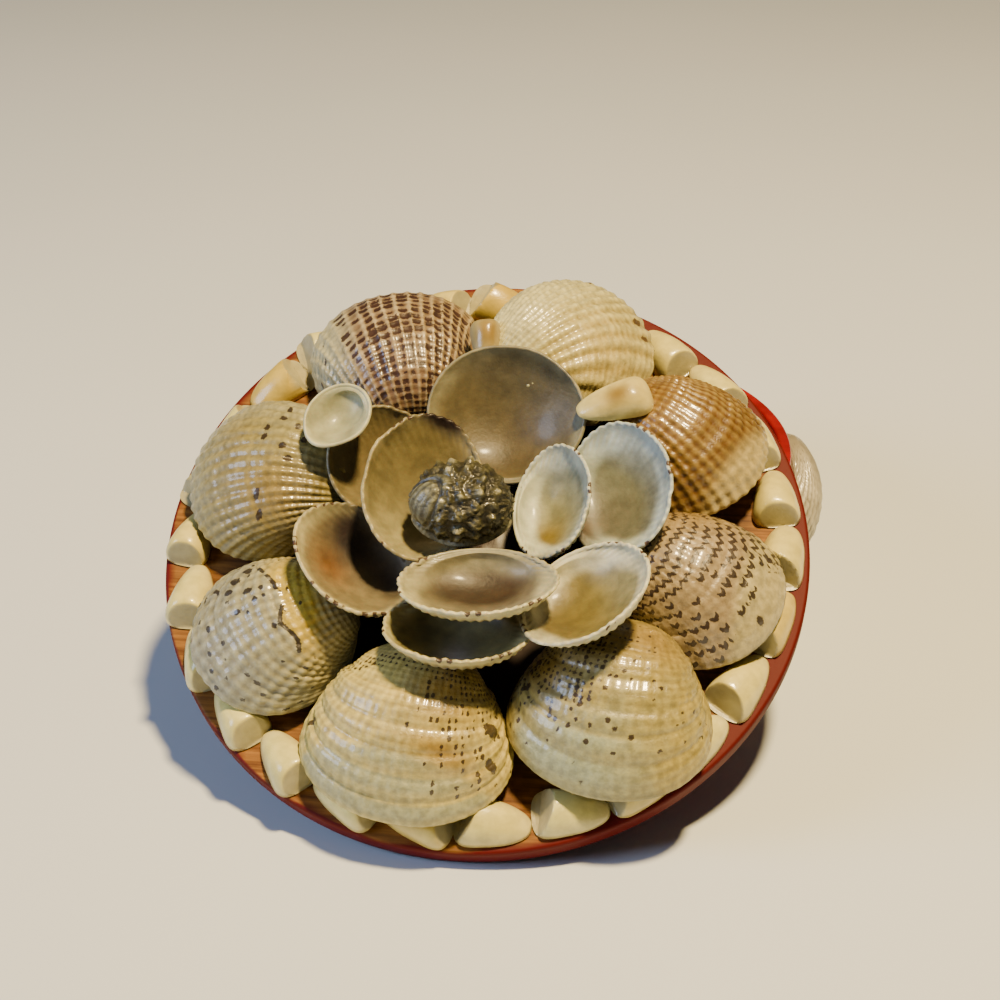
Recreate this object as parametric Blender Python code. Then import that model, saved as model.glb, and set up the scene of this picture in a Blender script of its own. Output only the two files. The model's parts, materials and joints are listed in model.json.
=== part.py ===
"""Round trinket box covered in sea shells, open, with its lid leaning against it.

Metres, +Z up. The origin is the centre of the tub's underside, on the table.
The tub stands behind and the lid leans on its front rim, towards -Y.
Sizes below are in millimetres and become metres through MM.
"""
import math

import bmesh
import bpy
from mathutils import Euler, Matrix, Vector
from mathutils.bvhtree import BVHTree

MM = 0.001

# Tub: the round box that the lid was lifted off
TUB_RADIUS = 47.0
TUB_WALL = 2.5
TUB_HEIGHT = 30.0
TUB_FLOOR = 3.0
EDGE_BREAK = 0.4

# Lid board
LID_RADIUS = 57.5
LID_THICKNESS = 4.0
LID_TILT_DEG = 31.0
LID_TURN_DEG = -7.3
LID_SIDE_SHIFT = -8.7

# Shells are picked to fit their lid. The tables of shells below are for a lid of radius
# 57.5 mm, and every length in them grows with the lid.
SHELL_SCALE = LID_RADIUS / 57.5

# Room left between pieces that touch or are glued
SEAT_GAP = 0.3

# Growth of a valve: how fast it swings up, how high its beak is, how full its shoulders are
SWING_SHARE = 0.215
BEAK_SHARE = 0.3
SHOULDER_POWER = 0.75

# Valves glued round the tub's wall
SIDE_SHELL_COUNT = 9
SIDE_SHELL_LENGTH = 27.4
SIDE_SHELL_WIDTH = 33.0
SIDE_SHELL_HEIGHT = 6.4
SIDE_SHELL_FOOT = 0.5
SIDE_SHELL_FIRST_DEG = 3.0
SIDE_SHELL_RIBS = 11
SIDE_SHELL_RIB_DEPTH = 0.7

# Wedge shells round the lid: azimuth in degrees, length, width, turn in degrees
RIM_SHELL_HEIGHT = 4.6
RIM_SHELL_INSET = 0.6
RIM_SHELL_SKEW = -0.16
RIM_SHELL_SQUARENESS = 0.85
RIM_SHELLS = (
    (1, 12.2, 8.0, 0), (14, 11.4, 8.4, 6), (27.5, 12.0, 7.6, -4), (42, 12.6, 8.0, 5),
    (55.5, 12.0, 8.6, -4), (68.5, 11.2, 8.0, 0), (80.5, 10.6, 7.6, 3), (92.5, 12.0, 8.6, -3),
    (105, 11.2, 8.4, 2), (117.5, 11.6, 8.0, 0), (130.5, 11.4, 7.8, 0), (144, 12.2, 8.4, 4),
    (157.5, 11.8, 7.4, 0), (170, 11.0, 7.4, 0), (182.5, 11.0, 7.4, 0), (195.5, 12.2, 8.6, -3),
    (209, 12.2, 7.8, 3), (223, 12.4, 8.2, 4), (236.5, 12.0, 8.6, -3), (250.5, 12.0, 7.0, 0),
    (264, 12.0, 7.0, 0), (277.5, 12.2, 8.6, 3), (291.5, 12.2, 8.0, -3), (305, 11.8, 7.0, 2),
    (318.5, 12.0, 7.8, 6), (332.5, 12.6, 8.6, 6), (347, 12.4, 8.0, -3),
)

# Large clam valves: azimuth, distance of the middle from the lid's edge, heading,
# length, width, height
CLAM_LIFT_DEG = 8.0
CLAM_WIDEST = 0.55
CLAM_RIBS = 14
CLAM_RIB_DEPTH = 0.9
CLAMS = (
    (119, 16.5, 108, 29.5, 32.5, 12.5),
    (73, 16.9, 44, 30.0, 32.4, 12.5),
    (28.0, 17.6, 330, 27.5, 27.5, 11.5),
    (347.3, 17.9, 336, 28.4, 28.4, 11.5),
    (306.0, 15.2, 262, 30.0, 33.4, 12.0),
    (258.5, 15.9, 261, 29.0, 35.0, 12.5),
    (213.5, 16.9, 205, 28.0, 29.0, 11.5),
    (168, 16.9, 176, 28.5, 32.5, 12.5),
)

# Putty mound that carries the flower
MOUND_RADIUS = 15.0
MOUND_HEIGHT = 3.5
MOUND_FOOT = 1.0
MOUND_STEPS = 20

# Flower valves, hollow side up: centre x, centre y, heading, tilt, length, width, depth
PETAL_WALL = 1.3
CUP_WIDEST = 0.5
CUP_RIB_DEPTH = 0.5
OUTER_PETALS = {
    "petal_outer_left_back": (-18.5, 9.5, 150, 28, 20.0, 21.0, 5.0),
    "petal_outer_left_front": (-19.3, -12.8, 210, 30, 22.5, 24.5, 5.5),
    "petal_outer_front": (-0.6, -25.6, 268, 32, 20.5, 25.0, 5.5),
    "petal_outer_right_front": (19.8, -19.6, 322, 30, 22.5, 24.0, 5.5),
    "petal_outer_right": (23.5, 4.4, 14, 26, 20.5, 26.5, 5.5),
    "petal_outer_back": (2.8, 18.6, 84, 20, 25.5, 28.5, 6.5),
}
INNER_PETALS = {
    "petal_inner_left": (-9.4, 1.4, 170, 30, 22.5, 28.5, 5.5),
    "petal_inner_front": (2.4, -19.0, 275, 30, 20.0, 27.0, 5.5),
    "petal_inner_right": (12.5, 0.8, 4, 34, 16.5, 22.5, 5.0),
}

# Small valves in the gaps: x, y, heading, tilt, length, width, height, hollow side up
FILLER_SKEW = -0.12
FILLERS = {
    "filler_left": (-25.6, 12.6, 240, -4, 13.5, 11.5, 3.6, True),
    "filler_right": (23.4, 22.4, 110, 4, 8.5, 13.0, 3.6, False),
    "filler_back": (-3.5, 34.2, 278, -6, 8.6, 6.2, 3.2, False),
}

# Knobbly snail in the middle of the flower
SNAIL_LENGTH = 18.0
SNAIL_WIDTH = 14.5
SNAIL_HEIGHT = 12.5
SNAIL_X = -2.0
SNAIL_Y = -2.0
SNAIL_KNOB = 1.5
SNAIL_ROWS = 11
SNAIL_COLUMNS = 20
SNAIL_KNOBS_ROUND = 5

# Height over the lid that loose pieces are lowered from, clear of all that it carries
DROP_HEIGHT = 2.0 * LID_RADIUS

# Sides of the round tub and lid, and the angle past which an edge looks sharp
ROUND_STEPS = 56
SHARP_DEG = 40.0


def clear_scene():
    for old in list(bpy.data.objects):
        bpy.data.objects.remove(old, do_unlink=True)


def make_material(name, colour, roughness, metallic=0.0):
    material = bpy.data.materials.new(name)
    material.use_nodes = True
    shader = material.node_tree.nodes["Principled BSDF"]
    shader.inputs["Base Color"].default_value = (*colour, 1.0)
    shader.inputs["Roughness"].default_value = roughness
    shader.inputs["Metallic"].default_value = metallic
    material.diffuse_color = (*colour, 1.0)
    return material


def make_object(name, verts, faces, material):
    """Mesh object from points in millimetres, with its faces pointing out."""
    mesh = bpy.data.meshes.new(name)
    mesh.from_pydata([Vector(v) * MM for v in verts], [], faces)
    bm = bmesh.new()
    bm.from_mesh(mesh)
    bmesh.ops.recalc_face_normals(bm, faces=bm.faces)
    bm.to_mesh(mesh)
    bm.free()
    mesh.materials.append(material)
    mesh.shade_smooth()
    mesh.set_sharp_from_angle(angle=math.radians(SHARP_DEG))
    obj = bpy.data.objects.new(name, mesh)
    bpy.context.scene.collection.objects.link(obj)
    return obj


def place(obj, parent, location, rotation):
    obj.parent = parent
    obj.location = Vector(location) * MM
    obj.rotation_euler = rotation


def turned_solid(name, profile, material, steps=ROUND_STEPS):
    """Solid of revolution: profile points (radius, z) run from the axis back to the axis."""
    verts = [(0.0, 0.0, profile[0][1])]
    for radius, z in profile[1:-1]:
        for i in range(steps):
            angle = math.tau * i / steps
            verts.append((radius * math.cos(angle), radius * math.sin(angle), z))
    verts.append((0.0, 0.0, profile[-1][1]))
    rings = len(profile) - 2
    faces = []
    for i in range(steps):
        j = (i + 1) % steps
        faces.append((0, 1 + i, 1 + j))
        for k in range(rings - 1):
            low = 1 + k * steps
            high = low + steps
            faces.append((low + i, high + i, high + j, low + j))
        last = 1 + (rings - 1) * steps
        faces.append((last + i, len(verts) - 1, last + j))
    return make_object(name, verts, faces, material)


def rounded(value, power):
    return math.copysign(abs(value) ** power, value)


def fitted(*lengths):
    """Lengths from a table of shells, for the lid as it is."""
    return [SHELL_SCALE * length for length in lengths]


def valve_point(turn, growth, length, width, height, widest, skew, square, ribs, rib_depth):
    """Point on the outside of a bivalve.

    turn goes round the margin (0 is the far middle), growth from 0 at the beak to 1 at the margin.
    Each earlier margin is a smaller copy, swung up about the hinge line, as the animal grows it.
    """
    reach = widest * length
    along = length - reach if math.cos(turn) > 0 else reach
    edge_x = skew * width + 0.5 * width * rounded(math.sin(turn), square)
    edge_y = reach + along * rounded(math.cos(turn), square)
    swing = (height / length) / SWING_SHARE * (1.0 - growth)
    groove = rib_depth * growth * (0.5 - 0.5 * math.cos(ribs * turn))
    pull = 1.0 - groove / (0.5 * width)
    x = edge_x * growth ** SHOULDER_POWER * pull
    y = reach + (edge_y - reach) * pull
    y_swung = y * growth * math.cos(swing)
    z = (y * growth - groove) * math.sin(swing)
    beak = BEAK_SHARE * height * (1.0 - growth) ** 2
    return Vector((x, y_swung, z + beak))


def valve_mesh(length, width, height, widest=CLAM_WIDEST, skew=0.0, square=1.0, ribs=0,
               rib_depth=0.0, columns=28, rows=(0.16, 0.36, 0.6, 0.82, 1.0), wall=0.0):
    """Valve with its margin in the plane z = 0 and its beak at y = 0.

    With no wall it is filled to its margin. With a wall it is a thin open cup.
    """
    def sheet(shrink_x, shrink_y, shrink_z):
        shape = (length, width, height, widest, skew, square, ribs, rib_depth)
        points = [valve_point(0.0, 0.0, *shape)]
        for growth in rows:
            for i in range(columns):
                turn = math.tau * i / columns - math.pi
                points.append(valve_point(turn, growth, *shape))
        middle = Vector((skew * width, widest * length, 0.0))
        return [Vector((middle.x + (p.x - middle.x) * shrink_x,
                        middle.y + (p.y - middle.y) * shrink_y,
                        p.z * shrink_z)) for p in points]

    def skin(first, flip):
        faces = []
        for i in range(columns):
            j = (i + 1) % columns
            face = (first, first + 1 + i, first + 1 + j)
            faces.append(face[::-1] if flip else face)
            for k in range(len(rows) - 1):
                a = first + 1 + k * columns
                b = a + columns
                face = (a + i, b + i, b + j, a + j)
                faces.append(face[::-1] if flip else face)
        return faces

    verts = sheet(1.0, 1.0, 1.0)
    faces = skin(0, False)
    margin = 1 + (len(rows) - 1) * columns
    if wall > 0.0:
        inside = len(verts)
        verts += sheet(1.0 - 2.0 * wall / width, 1.0 - 2.0 * wall / length, 1.0 - wall / height)
        faces += skin(inside, True)
        for i in range(columns):
            j = (i + 1) % columns
            faces.append((margin + i, inside + margin + i, inside + margin + j, margin + j))
    else:
        faces.append(tuple(margin + i for i in range(columns)))
    return verts, faces


def sample_points(obj):
    """Corners, edge middles and face middles of an object, in its parent's frame."""
    matrix = obj.matrix_basis
    mesh = obj.data
    points = [matrix @ v.co for v in mesh.vertices]
    for edge in mesh.edges:
        a, b = (mesh.vertices[k].co for k in edge.vertices)
        points.append(matrix @ ((a + b) / 2))
    points += [matrix @ polygon.center for polygon in mesh.polygons]
    return points


def surface_tree(obj):
    matrix = obj.matrix_basis
    verts = [matrix @ v.co for v in obj.data.vertices]
    return BVHTree.FromPolygons(verts, [tuple(p.vertices) for p in obj.data.polygons])


def settle(obj, supports):
    """Lower a piece along its parent's z until it rests on the supports, SEAT_GAP clear."""
    down = Vector((0.0, 0.0, -1.0))
    own_tree = surface_tree(obj)
    own_points = sample_points(obj)
    drop = None
    for support in supports:
        tree = surface_tree(support)
        for point in own_points:
            hit = tree.ray_cast(point, down)
            if hit[0] is not None and (drop is None or hit[3] < drop):
                drop = hit[3]
        for point in sample_points(support):
            hit = own_tree.ray_cast(point, -down)
            if hit[0] is not None and (drop is None or hit[3] < drop):
                drop = hit[3]
    obj.location.z -= drop - SEAT_GAP * MM


def build_tub(material):
    inner = TUB_RADIUS - TUB_WALL
    profile = [
        (0.0, 0.0),
        (TUB_RADIUS - EDGE_BREAK, 0.0),
        (TUB_RADIUS, EDGE_BREAK),
        (TUB_RADIUS, TUB_HEIGHT - EDGE_BREAK),
        (TUB_RADIUS - EDGE_BREAK, TUB_HEIGHT),
        (inner, TUB_HEIGHT),
        (inner, TUB_FLOOR),
        (0.0, TUB_FLOOR),
    ]
    return turned_solid("box_body", profile, material)


def build_side_shells(material):
    """Valves standing round the wall, beak up, each flat against it at its middle line."""
    verts, faces = valve_mesh(SIDE_SHELL_LENGTH, SIDE_SHELL_WIDTH, SIDE_SHELL_HEIGHT,
                              ribs=SIDE_SHELL_RIBS, rib_depth=SIDE_SHELL_RIB_DEPTH,
                              columns=2 * SIDE_SHELL_RIBS, rows=(0.2, 0.5, 0.78, 1.0))
    down = Vector((0.0, 0.0, -1.0))
    for number in range(SIDE_SHELL_COUNT):
        obj = make_object(f"side_shell_{number + 1:02d}", verts, faces, material)
        azimuth = math.radians(SIDE_SHELL_FIRST_DEG + 360.0 * number / SIDE_SHELL_COUNT)
        outward = Vector((math.cos(azimuth), math.sin(azimuth), 0.0))
        turned = Matrix((down.cross(outward), down, outward)).transposed()
        spot = outward * (TUB_RADIUS + SEAT_GAP) - down * (SIDE_SHELL_FOOT + SIDE_SHELL_LENGTH)
        place(obj, None, spot, turned.to_euler())


def lid_frame():
    """Empty at the middle of the lid's upper face, leaning on the tub's front rim."""
    tilt = math.radians(LID_TILT_DEG)
    turn = math.radians(LID_TURN_DEG)
    front = Vector((math.sin(turn), -math.cos(turn), 0.0))
    side = Vector((math.cos(turn), math.sin(turn), 0.0))
    height = LID_THICKNESS * math.cos(tilt) + LID_RADIUS * math.sin(tilt)
    seat = LID_THICKNESS + SEAT_GAP
    reach = TUB_RADIUS + (seat - math.cos(tilt) * (height - TUB_HEIGHT)) / math.sin(tilt)
    empty = bpy.data.objects.new("lid_frame", None)
    bpy.context.scene.collection.objects.link(empty)
    empty.location = (front * reach + side * LID_SIDE_SHIFT + Vector((0, 0, height))) * MM
    empty.rotation_euler = (tilt, 0.0, turn)
    return empty


def build_lid_board(frame, material):
    profile = [
        (0.0, -LID_THICKNESS),
        (LID_RADIUS - EDGE_BREAK, -LID_THICKNESS),
        (LID_RADIUS, EDGE_BREAK - LID_THICKNESS),
        (LID_RADIUS, -EDGE_BREAK),
        (LID_RADIUS - EDGE_BREAK, 0.0),
        (0.0, 0.0),
    ]
    obj = turned_solid("lid_board", profile, material)
    place(obj, frame, (0, 0, 0), Euler((0, 0, 0)))
    return obj


def build_rim_shells(frame, material):
    pieces = []
    for number, (azimuth_deg, *plan, turn_deg) in enumerate(RIM_SHELLS, 1):
        length, width = fitted(*plan)
        verts, faces = valve_mesh(width, length, RIM_SHELL_HEIGHT, widest=CUP_WIDEST,
                                  skew=RIM_SHELL_SKEW, square=RIM_SHELL_SQUARENESS,
                                  columns=12, rows=(0.3, 0.7, 1.0))
        centred = [v - Vector((RIM_SHELL_SKEW * length, 0.5 * width, 0.0)) for v in verts]
        obj = make_object(f"rim_shell_{number:02d}", centred, faces, material)
        azimuth = math.radians(azimuth_deg)
        reach = LID_RADIUS - RIM_SHELL_INSET - 0.5 * width
        spot = (reach * math.cos(azimuth), reach * math.sin(azimuth), SEAT_GAP)
        heading = azimuth - math.pi / 2 + math.radians(turn_deg)
        place(obj, frame, spot, Euler((0, 0, heading)))
        pieces.append(obj)
    return pieces


def build_clams(frame, material, supports):
    pieces = []
    for number, row in enumerate(CLAMS, 1):
        azimuth_deg, inset, heading_deg, *size = row
        inset, length, width, height = fitted(inset, *size)
        verts, faces = valve_mesh(length, width, height, ribs=CLAM_RIBS,
                                  rib_depth=CLAM_RIB_DEPTH, columns=2 * CLAM_RIBS)
        centred = [v - Vector((0.0, 0.5 * length, 0.0)) for v in verts]
        obj = make_object(f"clam_{number}", centred, faces, material)
        azimuth = math.radians(azimuth_deg)
        heading = math.radians(heading_deg) - math.pi / 2
        reach = LID_RADIUS - inset
        spot = (reach * math.cos(azimuth), reach * math.sin(azimuth), DROP_HEIGHT)
        place(obj, frame, spot, Euler((math.radians(CLAM_LIFT_DEG), 0, heading)))
        settle(obj, supports + pieces)
        pieces.append(obj)
    return pieces


def build_mound(frame, material):
    profile = [
        (0.0, SEAT_GAP),
        (MOUND_RADIUS, SEAT_GAP),
        (MOUND_RADIUS, MOUND_FOOT),
        (0.75 * MOUND_RADIUS, 0.55 * MOUND_HEIGHT),
        (0.4 * MOUND_RADIUS, 0.92 * MOUND_HEIGHT),
        (0.0, MOUND_HEIGHT),
    ]
    obj = turned_solid("flower_mound", profile, material, steps=MOUND_STEPS)
    place(obj, frame, (0, 0, 0), Euler((0, 0, 0)))
    return obj


def build_cup(frame, name, row, material, columns, rows, supports):
    """Thin valve lying hollow side up, its far margin raised by its tilt."""
    x, y, heading_deg, tilt_deg, *size = row
    x, y, length, width, depth = fitted(x, y, *size)
    verts, faces = valve_mesh(length, width, depth, widest=CUP_WIDEST, ribs=columns // 2,
                              rib_depth=CUP_RIB_DEPTH, columns=columns, rows=rows,
                              wall=PETAL_WALL)
    middle = Vector((0.0, 0.5 * length, 0.0))
    verts = [Vector((-(v.x), v.y - middle.y, -v.z)) for v in verts]
    obj = make_object(name, verts, faces, material)
    heading = math.radians(heading_deg) - math.pi / 2
    place(obj, frame, (x, y, DROP_HEIGHT), Euler((math.radians(tilt_deg), 0, heading)))
    settle(obj, supports)
    return obj


def build_fillers(frame, material, supports):
    for name, (*row, cupped) in FILLERS.items():
        if cupped:
            build_cup(frame, name, row, material, 14, (0.35, 0.7, 1.0), supports)
            continue
        x, y, heading_deg, tilt_deg, *size = row
        x, y, length, width, height = fitted(x, y, *size)
        verts, faces = valve_mesh(length, width, height, widest=CUP_WIDEST, skew=FILLER_SKEW,
                                  columns=14, rows=(0.3, 0.65, 1.0))
        verts = [Vector((v.x, v.y - 0.5 * length, v.z)) for v in verts]
        obj = make_object(name, verts, faces, material)
        heading = math.radians(heading_deg) - math.pi / 2
        place(obj, frame, (x, y, DROP_HEIGHT), Euler((math.radians(tilt_deg), 0, heading)))
        settle(obj, supports)


def build_snail(frame, material, supports):
    """Squat whorled shell: rows of knobs run round a rounded body."""
    rows = SNAIL_ROWS
    columns = SNAIL_COLUMNS
    verts = [(0.0, 0.0, -0.5 * SNAIL_HEIGHT)]
    for r in range(1, rows):
        lat = math.pi * r / rows - math.pi / 2
        for c in range(columns):
            lon = math.tau * c / columns
            round_knob = max(0.0, math.cos(SNAIL_KNOBS_ROUND * (lon + r / 3)))
            knob = round_knob * max(0.0, math.cos(3 * lat - 0.6))
            swell = 1.0 + 2.0 * SNAIL_KNOB / SNAIL_WIDTH * knob
            verts.append((0.5 * SNAIL_LENGTH * math.cos(lat) * math.cos(lon) * swell,
                          0.5 * SNAIL_WIDTH * math.cos(lat) * math.sin(lon) * swell,
                          0.5 * SNAIL_HEIGHT * math.sin(lat) * swell))
    verts.append((0.0, 0.0, 0.5 * SNAIL_HEIGHT))
    faces = []
    top = len(verts) - 1
    for c in range(columns):
        d = (c + 1) % columns
        faces.append((0, 1 + d, 1 + c))
        for r in range(rows - 2):
            a = 1 + r * columns
            b = a + columns
            faces.append((a + c, a + d, b + d, b + c))
        last = 1 + (rows - 2) * columns
        faces.append((last + c, last + d, top))
    obj = make_object("centre_snail", verts, faces, material)
    place(obj, frame, (SNAIL_X, SNAIL_Y, DROP_HEIGHT), Euler((0, 0, 0)))
    settle(obj, supports)
    return obj


def main():
    clear_scene()
    red_paint = make_material("painted_red_wood", (0.35, 0.02, 0.01), 0.4)
    varnish = make_material("varnished_wood", (0.42, 0.13, 0.04), 0.3)
    clam_shell = make_material("clam_shell", (0.75, 0.68, 0.48), 0.35)
    wedge_shell = make_material("wedge_shell", (0.85, 0.8, 0.58), 0.25)
    side_shell = make_material("side_clam_shell", (0.7, 0.66, 0.55), 0.4)
    cup_shell = make_material("cockle_inside", (0.6, 0.57, 0.46), 0.3)
    snail_shell = make_material("snail_shell", (0.16, 0.15, 0.1), 0.3)
    putty = make_material("dark_putty", (0.08, 0.02, 0.015), 0.6)

    build_tub(red_paint)
    build_side_shells(side_shell)
    frame = lid_frame()
    board = build_lid_board(frame, varnish)
    rim = build_rim_shells(frame, wedge_shell)
    clams = build_clams(frame, clam_shell, [board] + rim)
    mound = build_mound(frame, putty)
    seated = [board, mound] + clams
    for name, row in OUTER_PETALS.items():
        seated.append(build_cup(frame, name, row, cup_shell, 20, (0.3, 0.65, 1.0), seated))
    for name, row in INNER_PETALS.items():
        seated.append(build_cup(frame, name, row, cup_shell, 20, (0.3, 0.65, 1.0), seated))
    build_fillers(frame, wedge_shell, seated + rim)
    build_snail(frame, snail_shell, seated)


main()
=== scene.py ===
# %% [markdown]
# # A round shell box, open, with its lid leaning against it
#
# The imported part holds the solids: a hollow tub, nine clam valves round its wall, and a
# wooden lid that carries eight large clams, a rim of small wedge shells and a flower of
# cockle valves with a knobbly snail in its middle. This script dresses them. Each solid is
# coarse, so most are replaced by a finer mesh of the same size in the same place.
#
# Read it from top to bottom: each cell builds on the ones above it.

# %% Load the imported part
import json
import math

import bmesh
import bpy
import numpy as np
from mathutils import Euler, Matrix, Vector

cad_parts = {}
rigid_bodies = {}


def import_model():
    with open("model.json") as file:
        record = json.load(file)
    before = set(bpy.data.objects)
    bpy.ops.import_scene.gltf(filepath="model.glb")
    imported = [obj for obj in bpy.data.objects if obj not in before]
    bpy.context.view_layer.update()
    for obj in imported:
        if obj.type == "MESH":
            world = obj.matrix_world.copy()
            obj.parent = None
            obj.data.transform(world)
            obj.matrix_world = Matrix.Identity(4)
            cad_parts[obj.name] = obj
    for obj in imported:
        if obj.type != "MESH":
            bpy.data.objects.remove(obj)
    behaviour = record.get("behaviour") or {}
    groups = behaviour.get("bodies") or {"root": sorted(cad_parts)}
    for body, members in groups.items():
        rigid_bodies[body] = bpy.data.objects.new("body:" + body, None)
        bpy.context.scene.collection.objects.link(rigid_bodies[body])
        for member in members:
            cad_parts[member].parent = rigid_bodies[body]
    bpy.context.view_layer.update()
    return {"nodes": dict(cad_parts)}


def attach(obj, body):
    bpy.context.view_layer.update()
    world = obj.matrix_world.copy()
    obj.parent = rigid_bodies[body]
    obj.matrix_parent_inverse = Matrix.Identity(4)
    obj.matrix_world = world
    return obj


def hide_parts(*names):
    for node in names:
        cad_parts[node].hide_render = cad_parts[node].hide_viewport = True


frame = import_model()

# %% [markdown]
# ## Small tools
#
# Sizes are in millimetres, as on a workbench, and become metres when a mesh is made.
# Colours are written as sRGB hex, the way a paint chart gives them, and the shader wants
# them linear, so one function converts them. One more adds a node to a tree with its
# settings and its inputs, where an input is either a value or another node's output.

# %% Colours and nodes
MM = 0.001


def colour(code):
    """Linear RGBA from an sRGB hex code."""
    parts = [int(code[i:i + 2], 16) / 255 for i in (1, 3, 5)]
    return (*(c / 12.92 if c <= 0.04045 else ((c + 0.055) / 1.055) ** 2.4 for c in parts), 1.0)


def add_node(tree, kind, settings=None, links=None):
    """A new node; settings are its own properties, links its inputs by name or number."""
    node = tree.nodes.new(kind)
    for key, value in (settings or {}).items():
        setattr(node, key, value)
    for key, value in (links or {}).items():
        if isinstance(value, bpy.types.NodeSocket):
            tree.links.new(value, node.inputs[key])
        else:
            node.inputs[key].default_value = value
    return node


print("linear cream:", [round(c, 3) for c in colour("#E4D6A5")])

# %% [markdown]
# ## Smooth steps and repeatable noise
#
# Shells are never quite regular. The noise here is worked out from the place alone, by
# a sine that scrambles whole numbers, so the script gives the same shells on every run.

# %% Steps, blobs and noise


def smooth(value, low, high):
    """0 below low, 1 above high, with a soft S between; high may be the smaller one."""
    t = np.clip((value - low) / (high - low), 0.0, 1.0)
    return t * t * (3.0 - 2.0 * t)


def dice(i, j, seed):
    """A fixed random number from 0 to 1 for each pair of whole numbers."""
    return np.modf(np.abs(np.sin(i * 127.1 + j * 311.7 + seed * 74.7) * 43758.5453))[0]


def drift(x, y, seed):
    """Smooth noise from -1 to 1, one bump for each unit of x and y."""
    i, j = np.floor(x), np.floor(y)
    a, b = smooth(x - i, 0.0, 1.0), smooth(y - j, 0.0, 1.0)
    low = dice(i, j, seed) * (1 - a) + dice(i + 1, j, seed) * a
    high = dice(i, j + 1, seed) * (1 - a) + dice(i + 1, j + 1, seed) * a
    return 2.0 * (low * (1 - b) + high * b) - 1.0


def wave(turns):
    """1 at each whole number, 0 halfway between."""
    return 0.5 + 0.5 * np.cos(math.tau * turns)


def blob(p, q, spot):
    """Soft patch: spot holds its middle (p, q), its half sizes and its strength."""
    p0, q0, half_p, half_q, strength = spot
    return strength * np.exp(-((p - p0) / half_p) ** 2 - ((q - q0) / half_q) ** 2)


def patches(p, q, spots):
    return sum(blob(p, q, spot) for spot in spots)


# %% [markdown]
# ## Where the lid is
#
# The lid leans on the tub, so everything on it is easier to make lying flat and turned
# into place afterwards. The lean isn't typed in: it is read from the lid's solid, whose
# thinnest direction is the lid's upright.

# %% Lid frame from the solid


def solid_points(name):
    """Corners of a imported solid, in mm."""
    mesh = frame["nodes"][name].data
    points = np.zeros(len(mesh.vertices) * 3)
    mesh.vertices.foreach_get("co", points)
    return np.unique(points.reshape(-1, 3).round(7), axis=0) / MM


def solids_named(start):
    return sorted(name for name in frame["nodes"] if name.startswith(start))


board_points = solid_points("lid_board")
board_middle = (board_points.min(0) + board_points.max(0)) / 2
axes = np.linalg.eigh(np.cov((board_points - board_middle).T))[1]
upright = axes[:, 0] * np.sign(axes[2, 0])
lid_tilt = math.acos(upright[2])
lid_turn = math.atan2(upright[0], -upright[1])
lid_axes = np.array(Matrix.Rotation(lid_turn, 3, "Z") @ Matrix.Rotation(lid_tilt, 3, "X"))
board_flat = (board_points - board_middle) @ lid_axes
LID_THICKNESS = float(np.ptp(board_flat[:, 2]))
LID_RADIUS = float(np.ptp(board_flat[:, 0])) / 2
lid_top = board_middle + upright * LID_THICKNESS / 2
print("lid: radius %.1f, thickness %.1f, lean %.1f, turn %.1f" % (
    LID_RADIUS, LID_THICKNESS, math.degrees(lid_tilt), math.degrees(lid_turn)))


def on_lid(points):
    """Points in the row frame, as seen in the lid's own frame."""
    return (points - lid_top) @ lid_axes


def off_lid(points):
    """Points in the lid's frame, put into the row frame."""
    return points @ lid_axes.T + lid_top


# %% [markdown]
# ## From a grid of points to a closed mesh
#
# A bivalve grows in rings: each year's margin is one closed ring of points. So every shell
# here is a tip, a stack of rings and an end cap, and the faces only join neighbours.

# %% Grid meshes
SHARP_EDGE_DEG = 50.0


def turn_and_growth(columns, rings):
    """The two running numbers of a grid: a row of turns and a column of growth, up to 1."""
    turn = np.linspace(-math.pi, math.pi, columns, endpoint=False)[None, :]
    return turn, np.linspace(0.0, 1.0, rings + 1)[1:, None]


def ring_faces(first, rings, columns):
    """Four-sided faces between neighbouring rings, numbered from the point called first."""
    ring, column = np.meshgrid(np.arange(rings - 1), np.arange(columns), indexing="ij")
    a = first + ring * columns + column
    b = first + ring * columns + (column + 1) % columns
    return np.stack([a, b, b + columns, a + columns], -1).reshape(-1, 4).tolist()


def cap_faces(tip, first, columns):
    """Triangles from a tip to the ring that starts at first."""
    return [(tip, first + c, first + (c + 1) % columns) for c in range(columns)]


def closed_stack(rings, start, end):
    """Points and faces of a stack of rings (rings, columns, 3) between two tips."""
    count, columns = rings.shape[:2]
    points = np.concatenate([[start], rings.reshape(-1, 3), [end]])
    faces = cap_faces(0, 1, columns) + ring_faces(1, count, columns)
    faces += cap_faces(len(points) - 1, 1 + (count - 1) * columns, columns)
    return points, faces


def stack_values(named, shape, extra, start, end):
    """Values from 0 to 1 for the points of such a stack, whose extra rings copy the margin's.

    Without a start, the tip takes the mean of its first ring.
    """
    values = {}
    for key, numbers in named.items():
        numbers = np.clip(np.broadcast_to(numbers, shape), 0.0, 1.0)
        first = numbers[0].mean() if start is None else start
        numbers = np.concatenate([numbers, np.repeat(numbers[-1:], extra, 0)])
        values[key] = np.concatenate([[first], numbers.reshape(-1), [end]])
    return values


def turn_faces_outward(mesh):
    sides = bmesh.new()
    sides.from_mesh(mesh)
    bmesh.ops.recalc_face_normals(sides, faces=sides.faces)
    sides.to_mesh(mesh)
    sides.free()


def add_object(name, data):
    """A new object in the scene, at the origin."""
    thing = bpy.data.objects.new(name, data)
    bpy.context.scene.collection.objects.link(thing)
    return thing


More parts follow.
